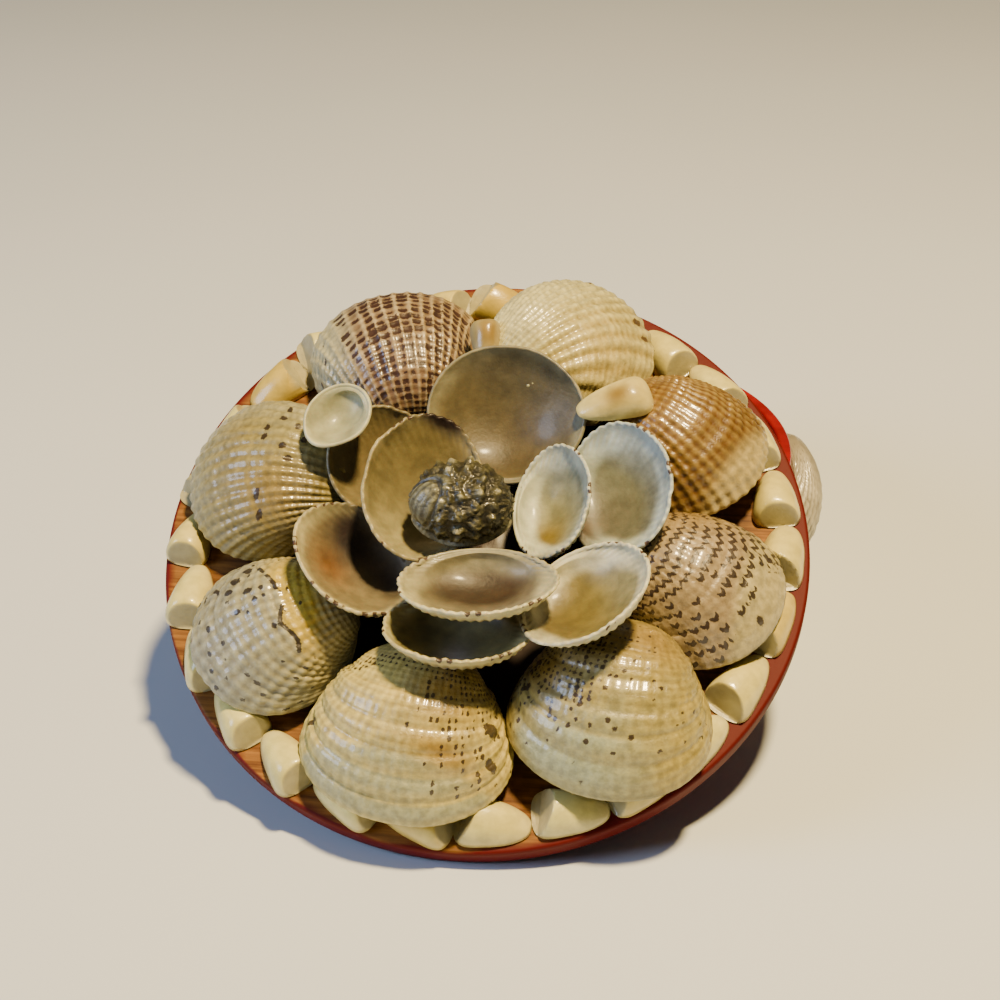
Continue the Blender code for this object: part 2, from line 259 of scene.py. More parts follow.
def make_piece(name, points, faces, values=None, sharp=None):
    """Object at the origin from points in mm; values are named numbers, one for each point."""
    mesh = bpy.data.meshes.new(name)
    mesh.from_pydata((points * MM).tolist(), [], faces)
    for key, numbers in (values or {}).items():
        layer = mesh.attributes.new(key, "FLOAT", "POINT")
        layer.data.foreach_set("value", np.asarray(numbers, np.float32))
    turn_faces_outward(mesh)
    mesh.shade_smooth()
    if sharp:
        mesh.set_sharp_from_angle(angle=math.radians(sharp))
    return add_object(name, mesh)


def dress(piece, material, nodes):
    """Give a piece its finish, and let it stand for its solids."""
    piece.data.materials.clear()
    piece.data.materials.append(material)
    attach(piece, "root")
    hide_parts(*nodes)
    triangles = sum(len(p.vertices) - 2 for p in piece.data.polygons)
    print("%-24s %7d triangles" % (piece.name, triangles))


# %% [markdown]
# ## The shape of a valve
#
# A clam's shell keeps its shape while it grows: every earlier margin is a smaller copy of
# the last one, swung up about the hinge. That gives the whole dome from three sizes. The
# solids use the same rule, so the fine shells here fill the same space.

# %% Valve surface
SWING_SHARE = 0.215
BEAK_SHARE = 0.3
SHOULDER_POWER = 0.75
WIDEST_SHARE = 0.55


def valve_rings(turn, growth, length, width, height, widest=WIDEST_SHARE):
    """Smooth outside of a valve: turn runs round the margin, growth from beak to margin."""
    reach = widest * length
    along = np.where(np.cos(turn) > 0, length - reach, reach)
    edge_x = 0.5 * width * np.sin(turn)
    edge_y = reach + along * np.cos(turn)
    swing = height / length / SWING_SHARE * (1.0 - growth)
    beak = BEAK_SHARE * height * (1.0 - growth) ** 2
    return np.stack([edge_x * growth ** SHOULDER_POWER,
                     edge_y * growth * np.cos(swing),
                     edge_y * growth * np.sin(swing) + beak], -1)


def outward(rings):
    """Unit normals of a stack of rings that domes upwards."""
    across = np.roll(rings, -1, 1) - np.roll(rings, 1, 1)
    along = np.gradient(rings, axis=0)
    normal = np.cross(across, along)
    normal /= np.linalg.norm(normal, axis=-1, keepdims=True) + 1e-9
    return normal if normal[..., 2].mean() > 0 else -normal


def margin_share(ring):
    """How far round the margin each point is, from 0 at the hinge to 1 back at it."""
    steps = np.linalg.norm(np.roll(ring, -1, 0) - ring, axis=1)
    return np.concatenate([[0.0], np.cumsum(steps)[:-1]]) / steps.sum()


def settle_on(points, node, tilt_deg, heading_deg):
    """Turn a shell on the lid and put it where its solid is: same middle, same lowest point."""
    turn = Euler((math.radians(tilt_deg), 0.0, math.radians(heading_deg - 90.0)))
    placed = points @ np.array(turn.to_matrix()).T
    solid = on_lid(solid_points(node))
    shift = (solid.min(0) + solid.max(0)) / 2 - (placed.min(0) + placed.max(0)) / 2
    shift[2] = solid[:, 2].min() - placed[:, 2].min()
    return off_lid(placed + shift)


print("ready to grow valves")

# %% [markdown]
# ## The finish of a shell
#
# A shell is calcium carbonate in thin layers: pale, a little see-through, with pigment laid
# down at the margin as it grew. Colour therefore follows the ribs and growth lines and not
# the space round the shell. The meshes carry numbers for that (relief, mark, stain, band)
# and the material turns each into a colour. These shells were varnished, which a clear
# coat over a duller base gives.

# %% Shell materials


def new_finish(name, roughness, coat, coat_roughness):
    """Material with its shader set: returns the material, its tree and its shader."""
    material = bpy.data.materials.new(name)
    material.use_nodes = True
    tree = material.node_tree
    shader = tree.nodes["Principled BSDF"]
    shader.inputs["Roughness"].default_value = roughness
    shader.inputs["Coat Weight"].default_value = coat
    shader.inputs["Coat Roughness"].default_value = coat_roughness
    return material, tree, shader


def layered_colour(tree, under, layers):
    """Lay colours over one another: each layer is a share from 0 to 1 and a hex colour.

    The share is a node's output, or the name of one of the mesh's own numbers.
    """
    for share, code in layers:
        if isinstance(share, str):
            number = add_node(tree, "ShaderNodeAttribute", {"attribute_name": share})
            share = number.outputs["Fac"]
        top = colour(code) if isinstance(code, str) else code
        mixed = add_node(tree, "ShaderNodeMix", {"data_type": "RGBA"},
                         {0: share, 6: under, 7: top})
        under = mixed.outputs[2]
    return under


def object_noise(tree, size_mm, detail):
    """Noise that sticks to the piece, with bumps of a real size."""
    place = add_node(tree, "ShaderNodeTexCoord").outputs["Object"]
    noise = add_node(tree, "ShaderNodeTexNoise", None,
                     {"Vector": place, "Scale": 1.0 / (size_mm * MM), "Detail": detail})
    return noise.outputs["Fac"]


def mottled(tree, source, size_mm, darkest):
    """Multiply a colour by soft noise of a real size, from darkest up to 1."""
    shade = add_node(tree, "ShaderNodeMapRange", None,
                     {0: object_noise(tree, size_mm, 4.0), 1: 0.35, 2: 0.65, 3: darkest, 4: 1.0})
    mixed = add_node(tree, "ShaderNodeMix", {"data_type": "RGBA", "blend_type": "MULTIPLY"},
                     {0: 1.0, 6: source, 7: shade.outputs[0]})
    return mixed.outputs[2]


def fine_bump(tree, shader, size_mm, depth_mm):
    """Fine surface grain that is too small for the mesh."""
    bump = add_node(tree, "ShaderNodeBump", None,
                    {"Strength": 1.0, "Distance": depth_mm * MM,
                     "Height": object_noise(tree, size_mm, 3.0)})
    tree.links.new(bump.outputs["Normal"], shader.inputs["Normal"])


def paint_over(tree, shader, source, mottle, grain):
    """Join a mottled colour and fine grain to the shader: mottle is size in mm and darkest
    share, grain is size and depth in mm."""
    tree.links.new(mottled(tree, source, *mottle), shader.inputs["Base Color"])
    fine_bump(tree, shader, *grain)


def ragged_share(tree, name, size_mm, ragged):
    """A share from the mesh whose soft border is made sharp and ragged, as pigment is."""
    number = add_node(tree, "ShaderNodeAttribute", {"attribute_name": name})
    pushed = add_node(tree, "ShaderNodeMath", {"operation": "MULTIPLY_ADD"},
                      {0: object_noise(tree, size_mm, 3.0), 1: ragged, 2: number.outputs["Fac"]})
    edge = add_node(tree, "ShaderNodeMapRange", {"interpolation_type": "SMOOTHSTEP"},
                    {0: pushed.outputs[0], 1: 0.22 + 0.5 * ragged, 2: 0.42 + 0.5 * ragged})
    return edge.outputs[0]


def clam_finish(name, crest, other, groove, mark, stain, band):
    """Varnished clam: two crest tones drift over it, with darker grooves and pigment marks."""
    material, tree, shader = new_finish("varnished_shell_" + name, 0.40, 0.5, 0.12)
    share = add_node(tree, "ShaderNodeMapRange", None,
                     {0: object_noise(tree, 7.0, 2.0), 1: 0.38, 2: 0.62})
    crests = layered_colour(tree, colour(crest), [(share.outputs[0], other)])
    faded = add_node(tree, "ShaderNodeMath", {"operation": "MULTIPLY"},
                     {0: ragged_share(tree, "mark", 0.4, 0.8), 1: 0.92})
    paint = layered_colour(tree, colour(groove), [
        ("relief", crests), ("band", band), ("stain", stain), (faded.outputs[0], mark)])
    paint_over(tree, shader, paint, (1.3, 0.64), (0.45, 0.09))
    return material


# %% [markdown]
# ## The eight large clams
#
# Each clam has radial ribs crossed by growth lines, so its face is a grid of beads. The
# rib number and the growth line number of a point are worked out first, as two running
# numbers, and then both the relief and the pigment are drawn in that grid. No two shells
# of a real box match, so each has its own counts, depths, colours and marks.

# %% Clam tables
CLAM_LIFT_DEG = 8.0
CLAM_COLUMNS = 232
CLAM_RINGS = 116
CLAM_FRONT_SHARE = 0.3
CLAM_TOUCH = 0.5

# By line, for each clam:
# - heading in degrees on the lid, length, width and height in mm
# - ribs round the margin, growth lines, rib depth, line depth, curve of the ribs near the
#   beak, bias (finer ribs on one flank, broader on the other), sharpness of the crests, and
#   how strongly the grooves are tinted, for ribs and for growth lines
# - growth checks: shares of the growth where it paused, and the height of the swell between
# - crest, second crest, groove, pigment mark, warm stain and band colours
# - warm stains: middle across (-1 to 1) and along (-1 beak to 1 margin), half sizes, strength
# - single pigment spots: place across and along, half sizes
CLAMS = {
    "clam_1": (
        (108, 29.5, 32.5, 12.5),
        (38, 24, 0.26, 0.24, 0.10, -0.15, 2.2, 0.80, 0.40),
        (0.55, 0.72, 0.86, 1.02), 0.20,
        ("#C8B68C", "#B8A67E", "#7A6248", "#321C18", "#6A4A38", "#BEB88E"),
        [(-0.05, -0.6, 0.6, 0.5, 0.5)],
        ()),
    "clam_2": (
        (44, 30.0, 32.4, 12.5),
        (36, 34, 0.46, 0.16, -0.10, 0.50, 0.8, 0.60, 0.40),
        (0.60, 0.78, 0.90, 1.02), 0.20,
        ("#E2DA96", "#D4D094", "#968648", "#5A4226", "#C4AC5E", "#D0CB98"),
        [(0.5, 0.1, 0.5, 0.7, 0.5)],
        ((0.3, 0.86, 0.036, 0.04), (0.52, 0.78, 0.0288, 0.032), (-0.5, 0.8, 0.0288, 0.024))),
    "clam_3": (
        (330, 27.5, 27.5, 11.5),
        (44, 24, 0.32, 0.24, 0.05, 0.20, 1.1, 0.65, 0.45),
        (0.50, 0.66, 0.78, 0.89, 1.02), 0.25,
        ("#B29A56", "#8E7438", "#583814", "#55351A", "#86622A", "#CCBC80"),
        [(0.2, -0.3, 0.8, 0.8, 0.6)],
        ()),
    "clam_4": (
        (336, 28.4, 28.4, 11.5),
        (48, 30, 0.10, 0.10, 0.05, 0.0, 0.9, 0.20, 0.30),
        (0.48, 0.62, 0.74, 0.83, 0.91, 1.02), 0.24,
        ("#B2A07C", "#A89878", "#7C664A", "#241412", "#8E702E", "#C0B684"),
        [(-0.8, -0.45, 0.5, 0.5, 0.9), (0.7, -0.75, 0.5, 0.4, 0.6)],
        ((0.15, 0.86, 0.036, 0.032), (-0.62, 0.62, 0.036, 0.032))),
    "clam_5": (
        (262, 30.0, 33.4, 12.0),
        (50, 32, 0.08, 0.13, 0.08, -0.15, 1.0, 0.15, 0.35),
        (0.52, 0.64, 0.74, 0.82, 0.90, 1.02), 0.40,
        ("#BAAA5C", "#AFA76E", "#74643A", "#2E1A10", "#92783A", "#A4AA88"),
        [(-0.25, -0.62, 0.45, 0.35, 0.9), (0.5, -0.1, 0.35, 0.4, 0.6)],
        ((0.82, 0.05, 0.036, 0.032), (0.75, -0.2, 0.0288, 0.032))),
    "clam_6": (
        (261, 29.0, 35.0, 12.5),
        (52, 34, 0.10, 0.15, -0.06, 0.15, 1.0, 0.22, 0.40),
        (0.60, 0.72, 0.80, 0.87, 0.94, 1.02), 0.55,
        ("#E2D074", "#D4C67E", "#8A763C", "#2E1C10", "#9C7C30", "#A8A880"),
        [(-0.32, -0.28, 0.32, 0.34, 1.0), (-0.42, 0.34, 0.30, 0.14, 0.9),
         (0.0, -0.9, 0.6, 0.25, 0.6)],
        ((0.86, 0.15, 0.036, 0.032), (-0.78, -0.12, 0.0432, 0.064),
         (-0.85, 0.2, 0.036, 0.048))),
    "clam_7": (
        (205, 28.0, 29.0, 11.5),
        (36, 24, 0.20, 0.26, 0.05, 0.0, 0.9, 0.35, 0.40),
        (0.60, 0.76, 0.88, 1.02), 0.25,
        ("#B8B48C", "#AAAA90", "#746A4C", "#1E1210", "#C2A838", "#5C5248"),
        [(0.0, -0.26, 0.55, 0.26, 1.9)],
        ((0.55, 0.3, 0.0504, 0.048), (0.42, 0.42, 0.036, 0.04), (0.66, 0.12, 0.0432, 0.056),
         (0.3, 0.22, 0.036, 0.048), (0.1, 0.4, 0.0288, 0.032), (0.62, 0.55, 0.0288, 0.032))),
    "clam_8": (
        (176, 28.5, 32.5, 12.5),
        (36, 28, 0.36, 0.12, 0.10, 0.30, 0.9, 0.42, 0.25),
        (0.56, 0.72, 0.85, 1.02), 0.20,
        ("#A89C5A", "#A0996A", "#6E643A", "#2A1A12", "#8E763C", "#ACA882"),
        [(-0.5, -0.2, 0.4, 0.6, 0.7), (0.1, 0.5, 0.5, 0.25, 0.3)],
        ((0.58, -0.1, 0.050, 0.028), (0.42, -0.06, 0.034, 0.04), (0.26, 0.1, 0.046, 0.028),
         (0.13, 0.1, 0.040, 0.03), (0.02, -0.16, 0.034, 0.04), (-0.12, -0.26, 0.03, 0.048),
         (0.30, -0.28, 0.036, 0.03), (-0.52, 0.02, 0.05, 0.028), (0.74, -0.35, 0.04, 0.028),
         (-0.7, -0.06, 0.04, 0.03), (0.14, -0.40, 0.034, 0.03))),
}
print("clams:", len(CLAMS))

# %% Marks in the grid of ribs and growth lines


def cell_spots(rib, line, share, half_rib, half_line, seed, square=False):
    """A soft spot in some cells of the grid; share is how many cells have one, 0 to 1.

    Each spot has its own size and sits a little off the middle of its cell.
    """
    i, j = np.floor(rib), np.floor(line)
    chosen = dice(i, j, seed) < share
    size = 0.65 + 0.5 * dice(i, j, seed + 1)
    beside = np.abs(rib - i - 0.5 + 0.24 * (dice(i, j, seed + 2) - 0.5)) / (half_rib * size)
    along = np.abs(line - j - 0.5 + 0.24 * (dice(i, j, seed + 3) - 0.5)) / (half_line * size)
    away = np.maximum(beside, along) if square else np.hypot(beside, along)
    return chosen * np.clip(1.2 - away, 0.0, 1.0) * (0.6 + 0.4 * dice(i, j, seed + 4))


def zigzag(rib, line, tooth_ribs, pitch, thickness, share=1.0):
    """Chevron lines that step from growth line to growth line across the ribs.

    With a share under 1, only that share of the teeth is there, each one by itself.
    """
    tooth = np.abs((rib / tooth_ribs) % 1.0 - 0.5) * 2.0
    wander = 0.30 * drift(rib / 3.0, line / 5.0, 7) + 0.12 * drift(rib, line / 2.0, 17)
    row = line / pitch + 0.40 * tooth + wander
    mark = np.clip(1.2 - np.abs(row % 1.0 - 0.5) / thickness, 0.0, 1.0)
    if share < 1.0:
        chosen = dice(np.floor(rib / tooth_ribs), np.floor(row), 4) < share
        mark = mark * chosen * smooth(tooth, 0.95, 0.65)
    return mark


def clam_marks(name, p, q, rib, line, pause, stain):
    """Pigment, stain and band of one clam; p runs -1 to 1 across it, q from beak to margin."""
    beads = rib + 0.5
    uneven = drift(p * 4, q * 4, 31)
    if name == "clam_1":
        zone = blob(p, q, (0.12, 0.0, 0.80, 0.95, 1.5)) * smooth(p, -0.85, -0.25) + 0.3 * uneven
        mark = cell_spots(rib, line, zone, 0.50, 0.46, 1, square=True)
        return mark, stain, smooth(p, -0.30, -0.75)
    if name == "clam_2":
        return 0.0, stain, 0.7 * smooth(p, 0.2, -0.4)
    if name == "clam_3":
        return 0.0, stain, 0.8 * smooth(q, 0.60, 0.80)
    if name == "clam_4":
        slant = q + 0.7 * p + 0.25 * uneven
        worn = smooth(drift(rib / 2, line / 2, 21), -0.75, -0.45)
        lines = zigzag(rib, line, 1.1, 1.65, 0.20) * worn
        commas = zigzag(rib, line, 1.2, 1.5, 0.23, 0.75)
        mark = lines * smooth(slant, 0.30, 0.12)
        mark = np.maximum(mark, commas * smooth(slant, 0.15, 0.28) * smooth(q, 0.74, 0.66))
        row = cell_spots(beads, 0.5 + (q - 0.70) / 0.12, 0.62, 0.32, 0.26, 9)
        mark = np.maximum(mark, row * (np.abs(q - 0.70) < 0.06) * smooth(p, 0.35, 0.2))
        return mark, stain, 0.8 * smooth(q - 0.25 * p, 0.45, 0.65)
    if name == "clam_5":
        zone = 0.95 * blob(p, q, (0.45, -0.25, 0.55, 0.60, 1.0)) + 0.15 * uneven
        mark = cell_spots(1.35 * beads, 1.3 * line, zone, 0.42, 0.42, 5)
        grey = smooth(q, 0.15, 0.6) * smooth(p, -0.7, 0.1)
        return mark, stain, grey * (0.35 + 0.65 * smooth(pause % 1.0, 0.75, 0.25))
    if name == "clam_6":
        near = smooth(np.abs(q + 0.55 - 0.18 * p * p), 0.14, 0.07) * smooth(p, -0.9, -0.6)
        side = blob(p, q, (-0.55, 0.0, 0.30, 0.5, 1.0))
        mark = cell_spots(1.2 * beads, line, 0.8 * near + 0.6 * side, 0.36, 0.44, 6)
        return mark, stain, smooth(q, 0.40, 0.50) * smooth(pause % 1.0, 0.80, 0.30)
    if name == "clam_7":
        bend = q + 0.06 - 0.10 * p + 0.06 * drift(p * 4, 0 * q, 3)
        broken = smooth(drift(p * 9, q * 2, 13), -0.5, -0.2)
        streak = np.clip(1.2 - np.abs(bend) / 0.03, 0, 1)
        streak = streak * smooth(np.abs(p + 0.05), 0.72, 0.6) * broken
        few = cell_spots(beads, 1.2 * line, 0.2 * smooth(q, -0.5, 0.0), 0.34, 0.34, 8)
        stain = stain * smooth(bend, 0.02, -0.05)
        return np.maximum(streak, few), stain, blob(p, q, (0.75, -0.75, 0.55, 0.4, 1.0))
    return 0.0, stain, 0.6 * smooth(p, 0.2, 0.7) + 0.4 * smooth(q, 0.3, 0.8)


# %% Grow the clams


def growth_pause(growth, checks):
    """Which pause in its growth a ring follows, and how far on to the next it is."""
    return np.interp(growth, (0.0,) + checks, np.arange(len(checks) + 1.0))


def check_swell(pause, rise):
    """Low swells between the pauses, so each pause is a groove."""
    return rise * (pause >= 1.0) * (1.0 - 4.0 * ((pause % 1.0) ** 0.8 - 0.5) ** 2)


def grow_clam(name, size, grid, checks, swell, colours, stains, spots):
    """One clam where its solid is: a grid of ribs and growth lines sunk into the valve."""
    heading, length, width, height = size
    ribs, lines, rib_depth, line_depth, sweep, bias, crest_power, rib_tint, line_tint = grid
    length, width = length + CLAM_TOUCH, width + CLAM_TOUCH
    seed = int(name[-1])
    even, growth = turn_and_growth(CLAM_COLUMNS, CLAM_RINGS)
    turn = even - CLAM_FRONT_SHARE * np.sin(even)
    rings = valve_rings(turn, growth, length, width, height)
    normal = outward(rings)
    share = margin_share(rings[-1])[None, :]
    curved = share + sweep * np.sin(math.tau * share) * (1.0 - growth) / 2
    curved = curved + bias * (1.0 - np.cos(math.tau * curved)) / math.tau
    rib = ribs * curved + 0.16 * drift(share * 14, growth * 5, seed + 40)
    line = lines * growth ** 1.1 + 0.45 * drift(share * 7, growth * 3, seed)
    front = smooth(np.abs(turn), 2.9, 2.2)
    rib_wave = wave(rib) ** crest_power
    line_wave = wave(line) ** 0.8
    young = np.clip(1.8 * growth, 0.0, 1.0) * front
    pause = growth_pause(growth, checks)
    lively = 0.75 + 0.45 * drift(share * 16, growth * 7, seed + 50)
    sunk = young * lively * (rib_depth * (1 - rib_wave) + line_depth * (1 - line_wave))
    sunk -= check_swell(pause, swell) * front
    sunk += (0.14 * drift(share * 12, growth * 9, seed + 20)
             + 0.05 * drift(share * 60, growth * 40, seed))
    p = rings[..., 0] / (0.5 * width)
    q = (rings[..., 1] - 0.5 * length) / (0.5 * length)
    mark, stain, band = clam_marks(name, p, q, rib, line, pause, patches(p, q, stains))
    for p0, q0, half_p, half_q in spots:
        away = np.hypot((p - p0) / half_p, (q - q0) / half_q)
        mark = np.maximum(mark, np.clip(1.2 - 0.7 * away, 0.0, 1.0))
    rings = rings - normal * sunk[..., None]
    relief = 1.0 - (rib_tint * (1 - rib_wave) + line_tint * (1 - line_wave)) * front
    middle = np.array([0.0, WIDEST_SHARE * length, 0.0])
    lip = [middle + (rings[-1] - middle) * (s, s, 1.0) + (0, 0, z)
           for s, z in ((0.985, -0.25), (0.95, -0.1), (0.85, 0.9))]
    points, faces = closed_stack(np.concatenate([rings, lip]),
                                 valve_rings(0.0, 0.0, length, width, height),
                                 middle + (0, 0, 2.0))
    values = stack_values({"relief": relief, "mark": mark, "stain": stain, "band": band},
                          relief.shape, len(lip), None, 0.5)
    piece = make_piece(name + "_shell", settle_on(points, name, CLAM_LIFT_DEG, heading),
                       faces, values)
    dress(piece, clam_finish(name, *colours), [name])


for name, numbers in CLAMS.items():
    grow_clam(name, *numbers)

# %% [markdown]
# ## The flower
#
# Nine thin cockle valves lie hollow side up, so what shows is their smooth inside and a
# thick pale margin with small teeth where the ribs end. A cup is two skins joined by a
# rounded lip. Solidify could give the wall, but a lip made ring by ring keeps the teeth.

# %% Petal tables
PETAL_WALL = 1.3
PETAL_COLUMNS = 168
PETAL_RINGS = 20
PETAL_TEETH = 42
PETAL_THIN = 0.45
PETAL_WIDEST = 0.5

# first line: heading and tilt in degrees, length, width, depth and tooth depth in mm, then
# inside, margin, warm stain and dark stain colours, and where the pale margin starts;
# second line: warm and dark patches, each by middle across and along, half sizes, strength
PETALS = {
    "petal_outer_left_back": (
        (150, 28, 20.0, 21.0, 5.0, 0.20), ("#766B48", "#8F8662", "#67562C", "#35261A"), 0.84,
        [(0.1, -0.1, 0.6, 0.6, 0.7)], [(0.9, 0.3, 0.1, 0.6, 0.3), (0.2, -0.8, 0.6, 0.4, 0.6)]),
    "petal_outer_left_front": (
        (210, 30, 22.5, 24.5, 5.5, 0.35), ("#857A5A", "#C0B88C", "#7D5426", "#241818"), 0.76,
        [(0.15, 0.25, 0.36, 0.36, 0.9)],
        [(0.55, -0.25, 0.5, 0.5, 1.1), (-0.3, -0.6, 0.5, 0.35, 0.9)]),
    "petal_outer_front": (
        (268, 32, 20.5, 25.0, 5.5, 0.45), ("#80774A", "#BDB584", "#ABA6A4", "#40361A"), 0.76,
        [(0.0, 0.3, 0.2, 0.5, 0.9)], [(0.5, -0.4, 0.5, 0.5, 0.45), (-0.5, -0.4, 0.4, 0.5, 0.4)]),
    "petal_outer_right_front": (
        (322, 30, 22.5, 24.0, 5.5, 0.40), ("#766A34", "#D6D4B4", "#8F8A62", "#453A18"), 0.66,
        [(-0.6, 0.2, 0.5, 0.9, 0.8)], [(0.6, -0.3, 0.5, 0.5, 0.6)]),
    "petal_outer_right": (
        (14, 26, 20.5, 26.5, 5.5, 0.40), ("#707264", "#B6C2BC", "#92988A", "#4A3820"), 0.60,
        [(-0.7, 0.4, 0.6, 0.8, 0.9)], [(0.3, -0.8, 0.6, 0.25, 0.9), (0.2, -0.3, 0.4, 0.4, 0.35)]),
    "petal_outer_back": (
        (84, 20, 25.5, 28.5, 6.5, 0.08), ("#675E40", "#8C876A", "#564A28", "#281C16"), 0.80,
        [(0.0, -0.3, 0.55, 0.6, 0.9)], [(0.72, 0.72, 0.08, 0.06, 1.2), (0.0, -0.6, 0.7, 0.5, 0.4)]),
    "petal_inner_left": (
        (170, 30, 22.5, 28.5, 5.5, 0.40), ("#766C44", "#ABA27A", "#A39C72", "#22120E"), 0.82,
        [(-0.7, 0.1, 0.5, 0.7, 0.7)], [(0.98, 0.2, 0.15, 0.8, 1.3), (0.2, -0.3, 0.5, 0.5, 0.3)]),
    "petal_inner_front": (
        (275, 30, 20.0, 27.0, 5.5, 0.50), ("#948C6C", "#D2CDA2", "#857E70", "#382A18"), 0.66,
        [(-0.35, 0.35, 0.5, 0.4, 0.7)], [(0.0, -0.35, 0.80, 0.58, 1.3)]),
    "petal_inner_right": (
        (4, 34, 16.5, 22.5, 5.0, 0.40), ("#96987E", "#C2C7B2", "#7C6A1E", "#54462A"), 0.62,
        [(0.5, -0.35, 0.42, 0.5, 1.1)], [(0.9, -0.2, 0.2, 0.3, 0.4)]),
}
print("petals:", len(PETALS))

# %% Grow the petals


def cup_rings(turn, growth, length, width, depth, shrink):
    """Outside of a cup, or with a shrink in mm its inside, hollow side up."""
    rings = valve_rings(turn, growth, length, width, depth, PETAL_WIDEST)
    middle = np.array([0.0, PETAL_WIDEST * length, 0.0])
    scale = (1 - 2 * shrink / width, 1 - 2 * shrink / length, 1 - shrink / depth)
    return (middle + (rings - middle) * scale) * (-1, 1, -1)


def cup_finish(name, inside, margin, warm, dark):
    """Waxy inside of a cockle under thin varnish, a little see-through at its edge."""
    material, tree, shader = new_finish("cockle_inside_" + name, 0.50, 0.12, 0.14)
    paint = layered_colour(tree, colour(inside), [
        ("stain", warm), ("band", margin), ("mark", dark),
        (ragged_share(tree, "speck", 0.5, 0.5), "#4A3626")])
    paint_over(tree, shader, paint, (2.6, 0.66), (0.9, 0.07))
    shader.inputs["Subsurface Weight"].default_value = 0.10
    shader.inputs["Subsurface Scale"].default_value = 0.8 * MM
    return material


def grow_cup(name, size, finish, warm, dark, pale_from):
    """One cup where its solid is; its noise starts from the length of its name."""
    heading, tilt, length, width, depth, tooth_depth = size
    seed = len(name)
    turn, growth = turn_and_growth(PETAL_COLUMNS, PETAL_RINGS)
    outside = cup_rings(turn, growth, length, width, depth, 0.0)
    inside = cup_rings(turn, growth, length, width, depth, PETAL_WALL)
    share = margin_share(outside[-1])[None, :]
    front = smooth(np.abs(turn), 2.9, 2.1)
    uneven = drift(share * 11, growth, seed)
    tooth = 0.5 - 0.5 * np.cos(math.tau * PETAL_TEETH * share + uneven)
    edge = smooth(growth, 0.88, 1.0)
    chips = np.maximum(0.0, drift(share * 26, 0 * growth, seed + 3) - 0.35)
    centre = np.array([0.0, PETAL_WIDEST * length, 0.0])
    wavy = 0.3 * drift(share * 8, 0 * growth, seed + 6) * edge
    lively = min(1.0, tooth_depth / 0.3)
    pull = tooth_depth * tooth * edge + 0.7 * lively * chips * edge ** 4 + wavy
    pull = front * pull / (0.5 * width)
    grooves = 0.30 * lively * front * tooth * np.clip(2 * growth, 0, 1)
    outside = centre + (outside - centre) * (1 - pull[..., None])
    outside = outside - outward(outside) * grooves[..., None]
    inside = centre + (inside - centre) * (1 - 0.9 * pull[..., None] * edge[..., None])
    inside[..., 2] -= 0.18 * lively * front * tooth * smooth(growth, 0.70, 0.98)
    thin = PETAL_THIN * smooth(growth, 0.7, 1.0)[..., None]
    inside = inside + (outside - inside) * (1, 1, 0) * thin
    inside[..., 2] += 0.22 * drift(inside[..., 0] / 5, inside[..., 1] / 5, seed) * (1 - edge)
    lip_low, lip_high = outside[-1], inside[-1]
    bump = (0.40 - 0.5 * tooth_depth * (tooth * front)[0])[:, None] * np.array([0.0, 0.0, 1.0])
    lip = []
    for step in (0.12, 0.35, 0.65, 0.88):
        lip.append(lip_low + (lip_high - lip_low) * step + bump * math.sin(math.pi * step))
    rings = np.concatenate([outside, lip, inside[::-1]])
    start = cup_rings(0.0, 0.0, length, width, depth, 0.0)
    end = cup_rings(0.0, 0.0, length, width, depth, PETAL_WALL)
    points, faces = closed_stack(rings, start, end)
    p = points[:, 0] / (0.5 * width)
    q = (points[:, 1] - 0.5 * length) / (0.5 * length)
    from_middle = np.sqrt(p * p + q * q)
    lip_tooth = np.concatenate([[0.0], np.tile((tooth * front)[-1], len(rings)), [0.0]])
    specks = lip_tooth * smooth(drift(p * 3, q * 3, seed + 9), 0.15, 0.5)
    specks = specks * smooth(np.abs(from_middle - 0.97), 0.06, 0.02)
    values = {
        "stain": np.clip(patches(p, q, warm), 0, 1),
        "band": smooth(from_middle + 0.06 * drift(p * 3, q * 3, seed), pale_from, pale_from + 0.16),
        "mark": np.clip(patches(p, q, dark), 0, 1),
        "speck": 0.8 * specks * (tooth_depth > 0.1),
    }
    piece = make_piece(name + "_cup", settle_on(points, name, tilt, heading), faces, values)
    dress(piece, finish, [name])


for name, (size, colours, pale_from, warm, dark) in PETALS.items():
    grow_cup(name, size, cup_finish(name, *colours), warm, dark, pale_from)

# %% [markdown]
# ## Small valves in the gaps
#
# One more cup, hollow side up, and two little wedge-shaped valves fill the gaps between
# the clams and the flower. A wedge shell rises from its margin to an off-centre top, and
# falls steeply to its blunt end, which is the keel that catches the light. That steep end
# face is painted darker, as painted shade.

# %% Wedge valves
WEDGE_COLUMNS = 60
WEDGE_RINGS = 24
WEDGE_SOFT = 0.20


def rounded(value, power):
    return np.sign(value) * np.abs(value) ** power


